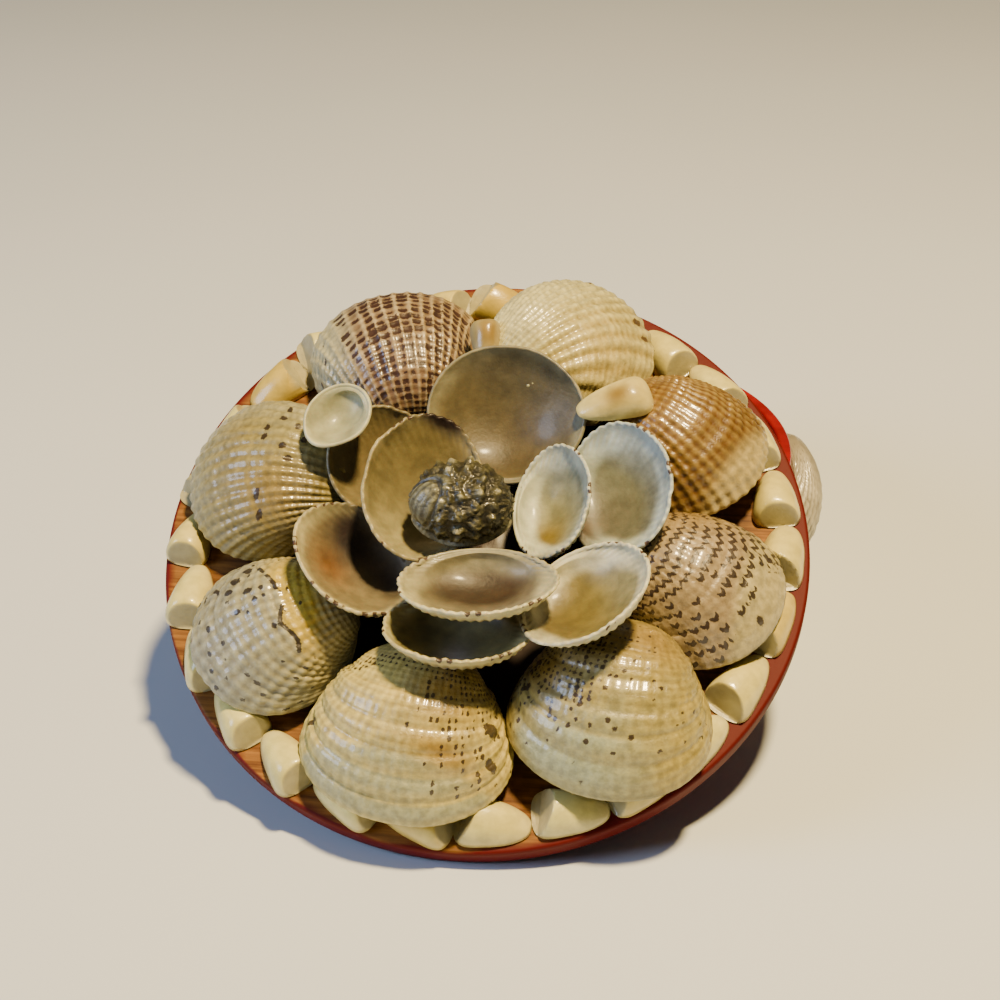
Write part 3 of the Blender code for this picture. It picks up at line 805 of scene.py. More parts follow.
def wedge_valve(length, width, height, keel, lean=0.10, pointed=0.42, seed=0):
    """Pillow over a tapered outline, cut off steeply at its blunt end, which is at +x.

    keel is where the cut starts, as a share of the length; lean turns the cut a little.
    """
    turn, growth = turn_and_growth(WEDGE_COLUMNS, WEDGE_RINGS)
    growth = growth ** 0.85
    cosine, sine = np.cos(turn), np.sin(turn)
    edge_x = 0.5 * length * np.where(cosine > 0, rounded(cosine, 0.42), rounded(cosine, 0.85))
    narrow = np.clip(0.62 - edge_x / length, 0.0, 1.12) / 1.12
    edge_y = 0.5 * width * (1.0 - pointed * narrow ** 1.3) * rounded(sine, 0.72)
    peak = np.array([0.16 * length, -0.03 * width])
    x = peak[0] + (edge_x - peak[0]) * growth
    y = peak[1] + (edge_y - peak[1]) * growth
    along = x / length + 0.5
    pillow = (1.0 - growth ** 2.3) ** 0.62 * (0.50 + 0.50 * smooth(along, -0.15, 0.78))
    pillow = pillow * (1.0 + 0.04 * drift(x / 3 + 5, y / 3, seed) - 0.10 * y / width)
    cut_start = (0.5 + keel + lean * y / width) * length
    cut = 1.0 + (cut_start - x - 0.5 * length) * 2.3 / height
    soft = WEDGE_SOFT / height
    gap = np.clip(0.5 + (pillow - cut) / (2 * soft), 0.0, 1.0)
    low = pillow * (1 - gap) + np.maximum(cut, 0.0) * gap - soft * gap * (1 - gap)
    z = height * np.maximum(low, 0.0)
    rings = np.stack([x, y, z], -1)
    foot = [rings[-1] * (0.96, 0.96, 1) + (0, 0, -0.12), rings[-1] * (0.85, 0.85, 1) + (0, 0, 0.1)]
    points, faces = closed_stack(np.concatenate([rings, foot]),
                                 np.array([peak[0], peak[1], z[0].max()]),
                                 np.array([0.0, 0.0, 0.4]))
    # The blunt share marks the steep end face; the finish paints it darker as painted shade.
    values = stack_values({"blunt": gap, "rim": smooth(growth, 0.6, 1.0)}, gap.shape,
                          len(foot), 0.0, 0.5)
    return points, faces, values


def wedge_finish(name, face, edge, blunt, tint):
    """Polished wedge shell, china-smooth, its gloss its own and sharper than varnish; the blunt
    colour is painted shade on the steep end.
    """
    material, tree, shader = new_finish(name, 0.34, 0.4, 0.12)
    # The blunt layer is painted shade on the steep end face.
    paint = layered_colour(tree, colour(face), [("rim", edge), ("tint", tint), ("blunt", blunt)])
    paint_over(tree, shader, paint, (2.2, 0.80), (0.6, 0.05))
    return material


# heading in degrees, length, width and height in mm, seed; these two are worn smooth, so
# their cut would start beyond the end
FILLER_KEEL = 0.9
WEDGE_FILLERS = {
    "filler_right": (110, 13.6, 9.0, 3.8, 3),
    "filler_back": (188, 9.0, 6.6, 3.4, 5),
}
# Face, margin, blunt end and tint colours; a darker blunt colour is painted shade.
FILLER_COLOURS = {
    "filler_right": ("#DCCB7A", "#DCCE84", "#C4B67C", "#86661A"),
    "filler_back": ("#A89C68", "#B2A87C", "#A89C68", "#8A6A20"),
}
for name, (heading, length, width, height, seed) in WEDGE_FILLERS.items():
    points, faces, values = wedge_valve(length, width, height, FILLER_KEEL, seed=seed)
    values["tint"] = blob(points[:, 0], points[:, 1], (0.5, -0.5, 3.0, 2.2, 0.9))
    piece = make_piece(name + "_wedge", settle_on(points, name, 0, heading), faces, values,
                       SHARP_EDGE_DEG)
    finish = wedge_finish("wedge_shell_" + name, *FILLER_COLOURS[name])
    dress(piece, finish, [name])

grow_cup("filler_left", (240, -4, 13.5, 11.5, 3.6, 0.02),
         cup_finish("filler_left", "#A3A484", "#CCCCA8", "#94966E", "#7B765A"),
         [(0.1, 0.0, 0.5, 0.5, 0.6)], [(-0.5, 0.3, 0.3, 0.3, 0.5)], 0.80)

# %% [markdown]
# ## The rim of wedge shells
#
# Twenty-seven wedge shells run round the lid. They are one shape repeated with changes,
# which is what Geometry Nodes is for: a point for each shell carries its heading, size,
# kind and tint, and the tree puts a valve on every point. The points, headings and sizes
# are read from the solids, so the ring can't drift off them.

# %% Points for the rim


def rim_places():
    """Middle, heading and size of every rim solid, in the lid's frame."""
    rows = []
    for name in solids_named("rim_shell_"):
        flat = on_lid(solid_points(name))
        middle = (flat.min(0) + flat.max(0)) / 2
        azimuth = math.atan2(middle[1], middle[0])
        centred = flat[:, :2] - middle[:2]
        long_way = np.linalg.eigh(np.cov(centred.T))[1][:, 1]
        clockwise = np.array([math.sin(azimuth), -math.cos(azimuth)])
        long_way = long_way * np.sign(long_way @ clockwise)
        wide_way = np.array([-long_way[1], long_way[0]])
        size = (np.ptp(centred @ long_way), np.ptp(centred @ wide_way), np.ptp(flat[:, 2]))
        rows.append((middle[0], middle[1], flat[:, 2].min(),
                     math.atan2(long_way[1], long_way[0]), *size))
    return np.array(rows)


rim = rim_places()
print("rim shells:", len(rim), "length %.1f to %.1f mm" % (rim[:, 4].min(), rim[:, 4].max()))

# %% Tools for Geometry Nodes trees


def start_tree(name, inputs):
    """Empty modifier tree with named inputs; each is a name, a socket type and a value."""
    tree = bpy.data.node_groups.new(name, "GeometryNodeTree")
    tree.is_modifier = True
    tree.interface.new_socket("Geometry", in_out="INPUT", socket_type="NodeSocketGeometry")
    for label, kind, value in inputs:
        socket = tree.interface.new_socket(label, in_out="INPUT", socket_type=kind)
        if value is not None:
            socket.default_value = value
    tree.interface.new_socket("Geometry", in_out="OUTPUT", socket_type="NodeSocketGeometry")
    return tree, tree.nodes.new("NodeGroupInput").outputs


def end_tree(tree, geometry, material):
    """Make instances real, set their finish, and hand the result on."""
    real = add_node(tree, "GeometryNodeRealizeInstances", None, {"Geometry": geometry})
    set_finish = add_node(tree, "GeometryNodeSetMaterial", None,
                          {"Geometry": real.outputs[0], "Material": material})
    add_node(tree, "NodeGroupOutput", None, {"Geometry": set_finish.outputs[0]})


def turned_upright(tree, angle):
    """Rotation by an angle about the z axis."""
    angles = add_node(tree, "ShaderNodeCombineXYZ", None, {"Z": angle})
    return add_node(tree, "FunctionNodeEulerToRotation", None, {0: angles.outputs[0]}).outputs[0]


def run_tree(piece, tree, values):
    """Run a tree on a piece with these input values, and keep the result as a plain mesh."""
    modifier = piece.modifiers.new(tree.name, "NODES")
    modifier.node_group = tree
    for item in tree.interface.items_tree:
        if item.item_type == "SOCKET" and item.in_out == "INPUT" and item.name in values:
            modifier[item.identifier] = values[item.name]
    depsgraph = bpy.context.evaluated_depsgraph_get()
    result = bpy.data.meshes.new_from_object(piece.evaluated_get(depsgraph),
                                             preserve_all_data_layers=True, depsgraph=depsgraph)
    piece.modifiers.clear()
    piece.data = result
    return result


print("tools for trees ready")

# %% Rim tree
RIM_SEED = 12
RIM_TOUCH = 1.08
WEDGE_MODEL_SIZE = (10.0, 8.0, 4.6)

# where the cut starts, how much it leans and how pointed the other end is, for each kind
WEDGE_KINDS = ((0.20, 0.10, 0.42), (0.27, -0.08, 0.50), (0.15, 0.16, 0.34), (0.23, 0.04, 0.46))

# shells whose blunt end faces the other way, and the yellow ones, by number
RIM_TURNED = (8, 11, 14, 15, 16, 17, 18, 19, 20, 21)
RIM_YELLOW = {8: 1.0, 9: 0.55, 12: 0.9, 15: 0.35, 21: 0.6, 24: 0.4, 27: 0.65}


def wedge_models():
    """A few valves one unit long, wide and high, for the tree to pick from."""
    shelf = bpy.data.collections.new("wedge_models")
    bpy.context.scene.collection.children.link(shelf)
    for number, (keel, lean, pointed) in enumerate(WEDGE_KINDS):
        points, faces, values = wedge_valve(*WEDGE_MODEL_SIZE, keel, lean, pointed, number)
        model = make_piece(f"wedge_model_{number}", points / WEDGE_MODEL_SIZE, faces, values,
                           SHARP_EDGE_DEG)
        model.data.transform(Matrix.Scale(1 / MM, 4))
        bpy.context.scene.collection.objects.unlink(model)
        shelf.objects.link(model)
    return shelf


def rim_tree(shelf):
    tree, given = start_tree("Wedge shells round a lid", [
        ("Valves", "NodeSocketCollection", shelf),
        ("Overlap", "NodeSocketFloat", 1.0),
        ("Finish", "NodeSocketMaterial", None)])
    named = {}
    for key, kind in (("heading", "FLOAT"), ("size", "FLOAT_VECTOR"), ("kind", "INT")):
        named[key] = add_node(tree, "GeometryNodeInputNamedAttribute", {"data_type": kind},
                              {"Name": key}).outputs[0]
    models = add_node(tree, "GeometryNodeCollectionInfo", None,
                      {"Collection": given["Valves"], "Separate Children": True,
                       "Reset Children": True})
    size = add_node(tree, "ShaderNodeVectorMath", {"operation": "SCALE"},
                    {0: named["size"], "Scale": given["Overlap"]})
    ring = add_node(tree, "GeometryNodeInstanceOnPoints", None,
                    {"Points": given["Geometry"], "Instance": models.outputs[0],
                     "Pick Instance": True, "Instance Index": named["kind"],
                     "Rotation": turned_upright(tree, named["heading"]),
                     "Scale": size.outputs[0]})
    end_tree(tree, ring.outputs[0], given["Finish"])
    return tree


def build_rim():
    mesh = bpy.data.meshes.new("wedge_shell_rim")
    mesh.from_pydata(rim[:, :3].tolist(), [], [])
    numbers = np.arange(len(rim)) + 1
    heading = rim[:, 3] + math.pi * np.isin(numbers, RIM_TURNED)
    tint = 0.22 * dice(numbers, 2, RIM_SEED)
    for number, yellow in RIM_YELLOW.items():
        tint[number - 1] = yellow
    for key, kind, values in (
            ("heading", "FLOAT", heading),
            ("kind", "INT", (dice(numbers, 1, RIM_SEED) * len(WEDGE_KINDS)).astype(int)),
            ("tint", "FLOAT", tint)):
        layer = mesh.attributes.new(key, kind, "POINT")
        layer.data.foreach_set("value", values)
    layer = mesh.attributes.new("size", "FLOAT_VECTOR", "POINT")
    layer.data.foreach_set("vector", rim[:, 4:7].astype(np.float32).ravel())
    piece = add_object("wedge_shell_rim", mesh)
    # The third colour, duller than the face, is painted shade on each steep blunt end.
    finish = wedge_finish("wedge_shell_polished", "#E6DC88", "#DCD294", "#ACA47A", "#C8AC44")
    shelf = wedge_models()
    result = run_tree(piece, rim_tree(shelf), {"Overlap": RIM_TOUCH, "Finish": finish})
    for model in list(shelf.objects):
        bpy.data.objects.remove(model)
    bpy.data.collections.remove(shelf)
    points = np.array([v.co for v in result.vertices])
    result.vertices.foreach_set("co", (off_lid(points) * MM).astype(np.float32).ravel())
    turn_faces_outward(result)
    dress(piece, finish, solids_named("rim_shell_"))


build_rim()

# %% [markdown]
# ## The snail in the middle
#
# The heart of the flower is one small knobbly snail shell lying on its side, with the flat
# lid of its mouth (a glossy ribbed oval) to the left and a wavy lip along its front. All
# of that is one surface, so it is made as one: a ball of directions whose radius is pushed
# out by knobs, a dome and a ridge. Sculpting would do too, but wouldn't repeat.

# %% Snail
SNAIL_LENGTH = 18.0
SNAIL_WIDTH = 14.5
SNAIL_HEIGHT = 12.5
SNAIL_COLUMNS = 220
SNAIL_RINGS = 150
SNAIL_TURNS = 9.0
SNAIL_KNOBS = 14
SNAIL_OVAL = np.array([-0.80, -0.38, 0.48])


def snail_finish():
    """Weathered horny shell: olive, with chalky knob tips and a wet-looking varnish."""
    material, tree, shader = new_finish("varnished_snail_shell", 0.50, 0.35, 0.16)
    paint = layered_colour(tree, colour("#1E1C0E"), [
        ("relief", "#66623C"), ("stain", "#86866C"), ("band", "#ADA986")])
    paint_over(tree, shader, paint, (0.9, 0.40), (0.5, 0.22))
    return material


def build_snail():
    lon = np.linspace(0, math.tau, SNAIL_COLUMNS, endpoint=False)[None, :]
    lat = np.linspace(-math.pi / 2, math.pi / 2, SNAIL_RINGS + 2)[1:-1, None]
    way = np.stack([np.sin(lat) + 0 * lon, np.cos(lat) * np.cos(lon),
                    np.cos(lat) * np.sin(lon)], -1)
    row = SNAIL_TURNS * (lat / math.pi + 0.5) + lon / math.tau
    knob_row = wave(row)
    along = 0.5 + 0.5 * np.cos(SNAIL_KNOBS * lon + 2.1 * np.floor(row + 0.5))
    strength = 0.70 + 0.60 * drift(way[..., 0] * 3.1 + 7, way[..., 1] * 3.1 + 3, 4)
    knobs = np.clip((knob_row * along) ** 0.9 * strength, 0.0, 1.3) * np.cos(lat) ** 0.4
    rough = 0.5 * drift(way[..., 0] * 7 + 9, way[..., 2] * 7 + 5, 8)
    rough = rough + 0.35 * drift(way[..., 0] * 16 + 30, way[..., 1] * 16 + way[..., 2] * 9, 9)
    oval_way = SNAIL_OVAL / np.linalg.norm(SNAIL_OVAL)
    side_way = np.cross((0.0, 0.35, 0.94), oval_way)
    side_way /= np.linalg.norm(side_way)
    tall_way = np.cross(oval_way, side_way)
    a, b = way @ side_way / 0.40, way @ tall_way / 0.62
    away = np.sqrt(a * a + b * b)
    facing = way @ oval_way > 0
    inside = smooth(away, 1.04, 0.94) * facing
    dome = np.sqrt(np.clip(1.0 - 0.85 * away ** 2, 0.0, 1.0))
    groove = smooth(np.abs(away - 1.07), 0.11, 0.03) * facing
    frame_ridge = smooth(np.abs(away - 1.24), 0.13, 0.03) * facing * (0.7 + 0.3 * np.sin(9 * lon))
    stripes = 0.5 + 0.5 * np.cos(15.0 * a * (1 + 0.25 * b) + 0.6 * drift(a * 3, b * 3, 5))
    lip_height = -0.42 + 0.08 * np.sin(7 * way[..., 0] + 1.0)
    lip = smooth(np.abs(way[..., 2] - lip_height), 0.14, 0.03) * smooth(way[..., 1], 0.0, -0.4)
    swell = 0.85 * knobs + 1.0 * rough
    swell = swell * (1 - inside) + inside * (1.1 * dome + 0.10 * stripes - 0.2) - 0.6 * groove
    swell = np.maximum(np.maximum(swell, 1.3 * lip), 0.7 * frame_ridge) - 0.55
    half = np.array([SNAIL_LENGTH, SNAIL_WIDTH, SNAIL_HEIGHT]) / 2
    rings = way * (half + swell[..., None])
    points, faces = closed_stack(rings, rings[0].mean(0), rings[-1].mean(0))
    chalk = smooth(knobs + 0.25 * rough, 0.62, 0.95)
    values = stack_values({
        "relief": np.clip(knobs + 0.5 * rough + 0.1, 0, 1) * (1 - inside),
        "band": np.maximum(0.8 * chalk, 0.85 * lip),
        "stain": inside * (0.35 + 0.65 * stripes) + 0.5 * frame_ridge * (1 - inside),
    }, knobs.shape, 0, 0.2, 0.2)
    piece = make_piece("snail_shell_centre", settle_on(points, "centre_snail", 0, 90),
                       faces, values)
    dress(piece, snail_finish(), ["centre_snail"])


build_snail()

# %% [markdown]
# ## Putty under the flower
#
# The cups stand in a lump of putty, coloured near black so that it is also painted shade in
# the gaps. Only scraps of it show between them, so a low lumpy mound is enough: a turned
# profile with its height and radius disturbed by noise.

# %% Putty mound
MOUND_RADIUS = 15.0
MOUND_HEIGHT = 3.5
MOUND_COLUMNS = 96
MOUND_RINGS = 20


def putty_finish():
    material, tree, shader = new_finish("dark_putty", 0.6, 0.2, 0.3)
    # Near black: the putty's colour and painted shade between the cups in one.
    paint_over(tree, shader, colour("#24100A"), (2.0, 0.5), (0.7, 0.2))
    return material


def build_mound():
    turn = np.linspace(0, math.tau, MOUND_COLUMNS, endpoint=False)[None, :]
    growth = np.linspace(0, 1, MOUND_RINGS + 1)[1:, None]
    edge = MOUND_RADIUS * (0.96 + 0.035 * np.sin(5 * turn) * np.cos(3 * turn + 1))
    x, y = edge * growth * np.cos(turn), edge * growth * np.sin(turn)
    z = 1.0 + (MOUND_HEIGHT - 1.2) * (1 - growth ** 2.4) + 0.25 * drift(x / 2, y / 2, 6)
    rings = np.stack([x, y, z], -1)
    foot = rings[-1] * (1, 1, 0)
    rings = np.concatenate([rings, [foot + (0, 0, 0.35)]])
    points, faces = closed_stack(rings, np.array([0, 0, MOUND_HEIGHT - 0.2]),
                                 np.array([0, 0, 0.35]))
    piece = make_piece("putty_under_flower", off_lid(points), faces, None, 60)
    dress(piece, putty_finish(), ["flower_mound"])


build_mound()

# %% [markdown]
# ## The lid board and the tub
#
# Both are turned: a profile goes once round an axis. The lid board is bare wood on top,
# under a coat of varnish, and red on its edge and underside; its middle, under the shells,
# is painted near black, as shade with some glue. The tub is painted red. The solids have the
# same sizes with 56 sides and square edges, and the pieces here have round edges, which is
# where gloss paint catches its thin line of light.

# %% Turned wood
TURNED_COLUMNS = 240
EDGE_ROUNDING = 0.7
EDGE_STEPS = 6


def rounded_corner(radius, z, to_middle, upward):
    """Quarter circle at a corner of a profile, listed from its flat side to its wall."""
    rows = []
    for k in range(EDGE_STEPS + 1):
        angle = math.pi / 2 * k / EDGE_STEPS
        rows.append((radius - to_middle * EDGE_ROUNDING * (1 - math.sin(angle)),
                     z - upward * EDGE_ROUNDING * (1 - math.cos(angle))))
    return rows


def turned_rings(profile):
    turn = np.linspace(0, math.tau, TURNED_COLUMNS, endpoint=False)
    return np.array([np.stack([r * np.cos(turn), r * np.sin(turn), z + 0 * turn], -1)
                     for r, z in profile])


def red_paint():
    """Gloss enamel over wood: brush marks, darker where it pooled."""
    material, tree, shader = new_finish("red_gloss_enamel", 0.36, 0.5, 0.10)
    paint_over(tree, shader, colour("#960E04"), (6.0, 0.62), (1.2, 0.06))
    return material


def build_lid_board():
    radius, thick = LID_RADIUS, LID_THICKNESS
    profile = [(r, 0.0) for r in np.linspace(6.0, radius - 2.0, 24)]
    profile += rounded_corner(radius, 0.0, 1, 1)
    profile += [(radius, -thick / 2)]
    profile += rounded_corner(radius, -thick, 1, -1)[::-1]
    profile += [(radius * 0.6, -thick)]
    points, faces = closed_stack(turned_rings(profile), np.zeros(3), np.array([0, 0, -thick]))
    across = np.hypot(points[:, 0], points[:, 1])
    azimuth = np.arctan2(points[:, 1], points[:, 0])
    ragged = 0.5 * drift(azimuth * 9, 0 * azimuth, 3)
    spill = radius - 0.9 - 4.0 * smooth(np.cos(azimuth), 0.1, 0.9) + ragged
    painted = np.maximum(smooth(across, spill, spill + 0.4), smooth(points[:, 2], -0.5, -0.9))
    # Painted shade, partly dark glue: inside about 38 to 51 mm from the middle the board turns near
    # black, where the shells cover it.
    shade_and_glue = smooth(across + 2.5 * drift(points[:, 0] / 5, points[:, 1] / 5, 12), 51.0, 38.0)
    values = {"painted": painted, "grain_x": points[:, 0], "grain_y": points[:, 1],
              "painted_shade_and_glue": shade_and_glue}
    piece = make_piece("lid_board_wood", off_lid(points), faces, values, SHARP_EDGE_DEG)
    dress(piece, lid_finish(), ["lid_board"])


def lid_finish():
    """Plywood-like board: orange varnish over straight grain, red enamel round the edge, and
    near-black painted shade, partly glue, over the middle under the shells.
    """
    material, tree, shader = new_finish("varnished_board_red_edge", 0.60, 0.0, 0.3)
    shader.inputs["Specular IOR Level"].default_value = 0.2
    place = add_node(tree, "ShaderNodeCombineXYZ")
    for axis, key, squeeze in (("X", "grain_x", 0.06), ("Y", "grain_y", 0.9)):
        number = add_node(tree, "ShaderNodeAttribute", {"attribute_name": key})
        squeezed = add_node(tree, "ShaderNodeMath", {"operation": "MULTIPLY"},
                            {0: number.outputs["Fac"], 1: squeeze})
        tree.links.new(squeezed.outputs[0], place.inputs[axis])
    noise = add_node(tree, "ShaderNodeTexNoise", None,
                     {"Vector": place.outputs[0], "Scale": 1.2, "Detail": 5.0})
    wood = add_node(tree, "ShaderNodeValToRGB", None, {"Fac": noise.outputs["Fac"]})
    ramp = wood.color_ramp
    ramp.elements[0].position, ramp.elements[0].color = 0.35, colour("#5E3612")
    ramp.elements[1].position, ramp.elements[1].color = 0.65, colour("#9C6A2C")
    # The near-black layer is painted shade under the shells, partly glue; the red is the enamel.
    paint = layered_colour(tree, mottled(tree, wood.outputs["Color"], 7.0, 0.75), [
        ("painted_shade_and_glue", "#1E0E08"), ("painted", "#560601")])
    tree.links.new(paint, shader.inputs["Base Color"])
    fine_bump(tree, shader, 1.0, 0.05)
    return material


build_lid_board()

# %% Tub
tub_points = solid_points("box_body")
TUB_RADIUS = float(tub_points[:, 0].max())
TUB_HEIGHT = float(tub_points[:, 2].max())
TUB_WALL = 2.5
TUB_FLOOR = 3.0


def build_tub():
    outer, inner = TUB_RADIUS, TUB_RADIUS - TUB_WALL
    profile = [(r, 0.0) for r in np.linspace(10.0, outer - 2.0, 5)]
    profile += rounded_corner(outer, 0.0, 1, -1)
    profile += [(outer, z) for z in np.linspace(4.0, TUB_HEIGHT - 3.0, 6)]
    profile += rounded_corner(outer, TUB_HEIGHT, 1, 1)[::-1]
    profile += rounded_corner(inner, TUB_HEIGHT, -1, 1)
    profile += [(inner, z) for z in np.linspace(TUB_HEIGHT - 3.0, TUB_FLOOR + 2.0, 6)]
    profile += [(inner - 1.0 * (1 - math.cos(t)), TUB_FLOOR + 1.0 * (1 - math.sin(t)))
                for t in np.linspace(0, math.pi / 2, 5)]
    profile += [(r, TUB_FLOOR) for r in np.linspace(inner - 3.0, 8.0, 5)]
    points, faces = closed_stack(turned_rings(profile), np.zeros(3),
                                 np.array([0, 0, TUB_FLOOR]))
    piece = make_piece("tub_turned", points, faces, None, SHARP_EDGE_DEG)
    dress(piece, red_paint(), ["box_body"])


build_tub()
print("tub: radius %.1f, height %.1f" % (TUB_RADIUS, TUB_HEIGHT))

# %% [markdown]
# ## Clam valves round the tub
#
# Nine valves stand round the wall with their beaks up. They are as alike as real ones of
# one kind are, so one model is enough: Geometry Nodes put it on points round a circle, and
# give every copy its own tint. Behind each is the plaster bed that fills the gap between
# its flat back and the round wall.

# %% Side shell model
SIDE_COUNT = 9
SIDE_LENGTH = 27.4
SIDE_WIDTH = 33.0
SIDE_HEIGHT = 6.4
SIDE_FOOT = 0.5
SIDE_FIRST_DEG = 3.0
SIDE_GAP = 0.3
SIDE_RIBS = 36
SIDE_COLUMNS = 150
SIDE_RINGS = 32


def side_model():
    """One valve at azimuth 0: beak up, its back on the wall, in mm."""
    turn, growth = turn_and_growth(SIDE_COLUMNS, SIDE_RINGS)
    rings = valve_rings(turn, growth, SIDE_LENGTH, SIDE_WIDTH, SIDE_HEIGHT)
    share = margin_share(rings[-1])[None, :]
    rib = SIDE_RIBS * share
    line = 20 * growth + 0.3 * drift(share * 8, growth, 2)
    front = smooth(np.abs(turn), 2.9, 2.2) * np.clip(1.8 * growth, 0, 1)
    rib_wave = wave(rib) ** 0.8
    line_wave = wave(line) ** 0.7
    sunk = front * (0.5 * (1 - rib_wave) + 0.22 * (1 - line_wave))
    sunk += 0.2 * smooth(growth, 0.8, 0.82)
    relief = np.clip(0.65 * rib_wave + 0.4 * line_wave, 0, 1) * front
    mark = cell_spots((rib + 0.5) / 1.5, line / 1.5, 0.16 + 0 * growth, 0.32, 0.32, 15)
    rings = rings - outward(rings) * sunk[..., None]
    middle = np.array([0.0, WIDEST_SHARE * SIDE_LENGTH, 0.0])
    bed = []
    for scale in (0.97, 0.93, 0.6, 0.3):
        ring = middle + (rings[-1] - middle) * (scale, scale, 0.0)
        behind = TUB_RADIUS + SIDE_GAP - np.sqrt(TUB_RADIUS ** 2 - ring[:, 0] ** 2) - 0.1
        ring[:, 2] = -behind if scale < 0.95 else -0.15
        bed.append(ring)
    points, faces = closed_stack(np.concatenate([rings, bed]),
                                 valve_rings(0.0, 0.0, SIDE_LENGTH, SIDE_WIDTH, SIDE_HEIGHT),
                                 middle - (0, 0, SIDE_GAP - 0.1))
    values = stack_values({"relief": relief, "mark": mark}, relief.shape, len(bed), 0.5, 0.5)
    values["plaster"] = np.arange(len(points)) > relief.size
    upright_points = np.stack([points[:, 2] + TUB_RADIUS + SIDE_GAP, points[:, 0],
                               SIDE_FOOT + SIDE_LENGTH - points[:, 1]], -1)
    return make_piece("side_model", upright_points / MM, faces, values)


def side_finish():
    """The tub's clams: greyer than the lid's, each copy from pinkish to greenish white."""
    material, tree, shader = new_finish("varnished_shell_round_tub", 0.42, 0.4, 0.18)
    pinkish = layered_colour(tree, colour("#8F8274"), [("relief", "#CDC0B0")])
    greenish = layered_colour(tree, colour("#86836A"), [("relief", "#CFCFB8")])
    base = layered_colour(tree, pinkish, [("tint", greenish)])
    paint = layered_colour(tree, mottled(tree, base, 5.0, 0.72), [
        ("mark", "#4A3B30"), ("plaster", "#A79F8E")])
    tree.links.new(paint, shader.inputs["Base Color"])
    fine_bump(tree, shader, 0.5, 0.05)
    return material


print("side shells:", SIDE_COUNT)

# %% Side shell ring


def side_tree(model):
    tree, given = start_tree("Valves round a tub", [
        ("Valve", "NodeSocketObject", model),
        ("Count", "NodeSocketInt", SIDE_COUNT),
        ("First azimuth", "NodeSocketFloat", math.radians(SIDE_FIRST_DEG)),
        ("Tint seed", "NodeSocketInt", 5),
        ("Finish", "NodeSocketMaterial", None)])
    points = add_node(tree, "GeometryNodePoints", None, {"Count": given["Count"]})
    index = add_node(tree, "GeometryNodeInputIndex")
    turns = add_node(tree, "ShaderNodeMath", {"operation": "DIVIDE"},
                     {0: index.outputs[0], 1: given["Count"]})
    angle = add_node(tree, "ShaderNodeMath", {"operation": "MULTIPLY_ADD"},
                     {0: turns.outputs[0], 1: math.tau, 2: given["First azimuth"]})
    model_info = add_node(tree, "GeometryNodeObjectInfo", None, {"Object": given["Valve"]})
    ring = add_node(tree, "GeometryNodeInstanceOnPoints", None,
                    {"Points": points.outputs[0], "Instance": model_info.outputs["Geometry"],
                     "Rotation": turned_upright(tree, angle.outputs[0])})
    chance = add_node(tree, "FunctionNodeRandomValue", {"data_type": "FLOAT"},
                      {"Seed": given["Tint seed"]})
    tinted = add_node(tree, "GeometryNodeStoreNamedAttribute",
                      {"data_type": "FLOAT", "domain": "INSTANCE"},
                      {"Geometry": ring.outputs[0], "Name": "tint",
                       "Value": chance.outputs[1]})
    end_tree(tree, tinted.outputs[0], given["Finish"])
    return tree


def build_side_shells():
    model = side_model()
    piece = add_object("clam_shells_round_tub", bpy.data.meshes.new("ring_start"))
    finish = side_finish()
    result = run_tree(piece, side_tree(model), {"Finish": finish})
    bpy.data.objects.remove(model)
    result.transform(Matrix.Scale(MM, 4))
    turn_faces_outward(result)
    dress(piece, finish, solids_named("side_shell_"))


build_side_shells()

# %% [markdown]
# ## Floor, lights and camera
#
# A pale table under two soft lights. A warm one hangs nearly overhead and a cool one, like
# a window, stands low on the left, so the shadow in front of the lid is bluish on the left
# and brown on the right. The camera looks down at the lid at about 29 degrees.

# %% Table
TABLE_HALF = 3.0


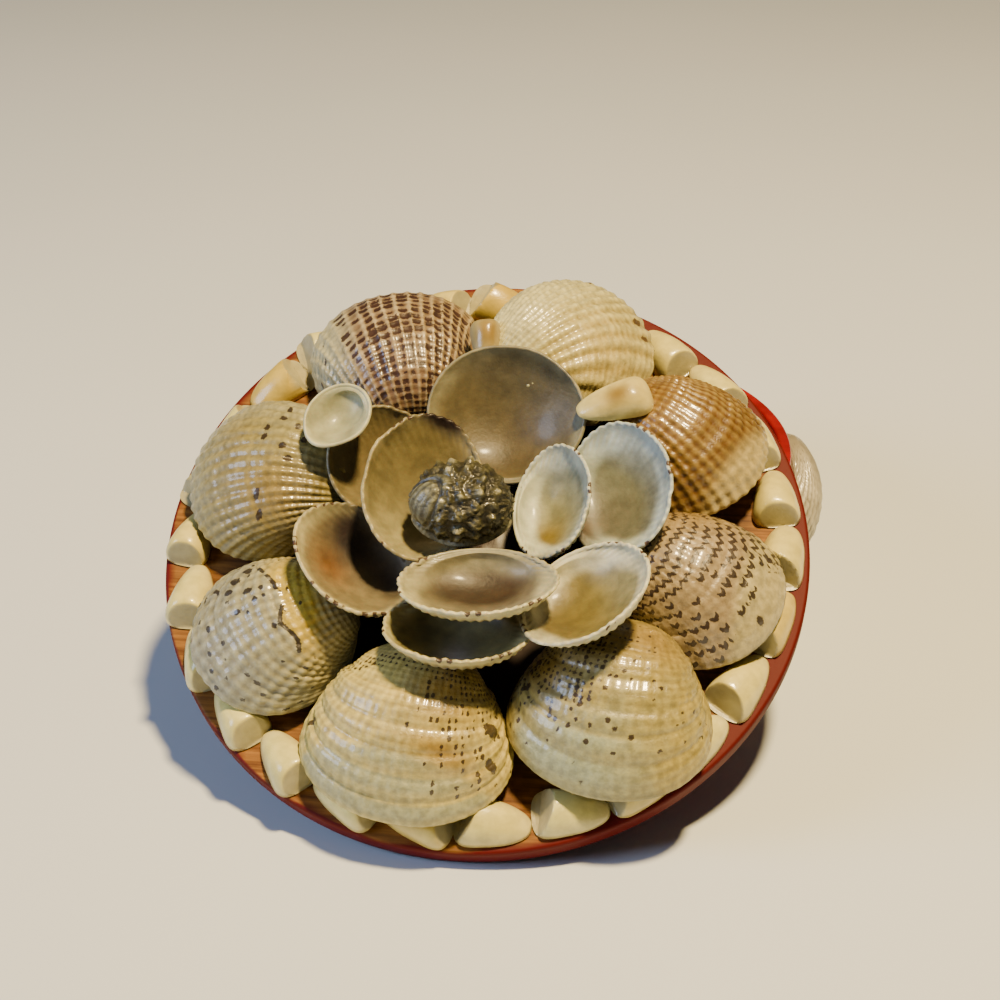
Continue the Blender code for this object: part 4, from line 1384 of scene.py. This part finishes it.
def table_finish():
    material, tree, shader = new_finish("pale_matt_table", 0.65, 0.0, 0.1)
    place = add_node(tree, "ShaderNodeTexCoord").outputs["Object"]
    noise = add_node(tree, "ShaderNodeTexNoise", None, {"Vector": place, "Scale": 6.0})
    tones = add_node(tree, "ShaderNodeMix", {"data_type": "RGBA"},
                     {0: noise.outputs["Fac"], 6: colour("#CED4DA"), 7: colour("#D6DCE2")})
    tree.links.new(tones.outputs[2], shader.inputs["Base Color"])
    return material


def build_table():
    mesh = bpy.data.meshes.new("table")
    h = TABLE_HALF
    mesh.from_pydata([(-h, -h, 0), (h, -h, 0), (h, h, 0), (-h, h, 0)], [], [(0, 1, 2, 3)])
    table = add_object("table", mesh)
    mesh.materials.append(table_finish())


build_table()

# %% Lights


def soft_light(name, place, aim, size, power, tone):
    lamp = bpy.data.lights.new(name, "AREA")
    lamp.shape = "DISK"
    lamp.size, lamp.energy, lamp.color = size, power, colour(tone)[:3]
    holder = add_object(name, lamp)
    holder.location = place
    holder.rotation_euler = (Vector(aim) - Vector(place)).to_track_quat("-Z", "Y").to_euler()


BOX_MIDDLE = (-0.01, -0.04, 0.03)
soft_light("warm_room_light", (0.145, -0.156, 0.80), BOX_MIDDLE, 0.09, 17.0, "#FFDE9E")
soft_light("window_light", (-0.92, -0.30, 0.50), BOX_MIDDLE, 0.5, 8.0, "#BCD2FA")

world = bpy.data.worlds.new("studio")
world.use_nodes = True
world.node_tree.nodes["Background"].inputs["Color"].default_value = colour("#F4F0EA")
world.node_tree.nodes["Background"].inputs["Strength"].default_value = 0.055
bpy.context.scene.world = world
print("lights set")

# %% Camera
CAMERA_PLACE = (-0.0149, -0.32523, 0.1931)
CAMERA_DOWN_DEG = 28.627
CAMERA_RIGHT_DEG = 0.54
CAMERA_LENS = 64.4

view = bpy.data.cameras.new("photo_view")
view.sensor_width = 36.0
view.lens = CAMERA_LENS
view.clip_start = 0.01
camera = add_object("photo_view", view)
camera.location = CAMERA_PLACE
camera.rotation_euler = (math.radians(90 - CAMERA_DOWN_DEG), 0, math.radians(-CAMERA_RIGHT_DEG))
bpy.context.scene.camera = camera
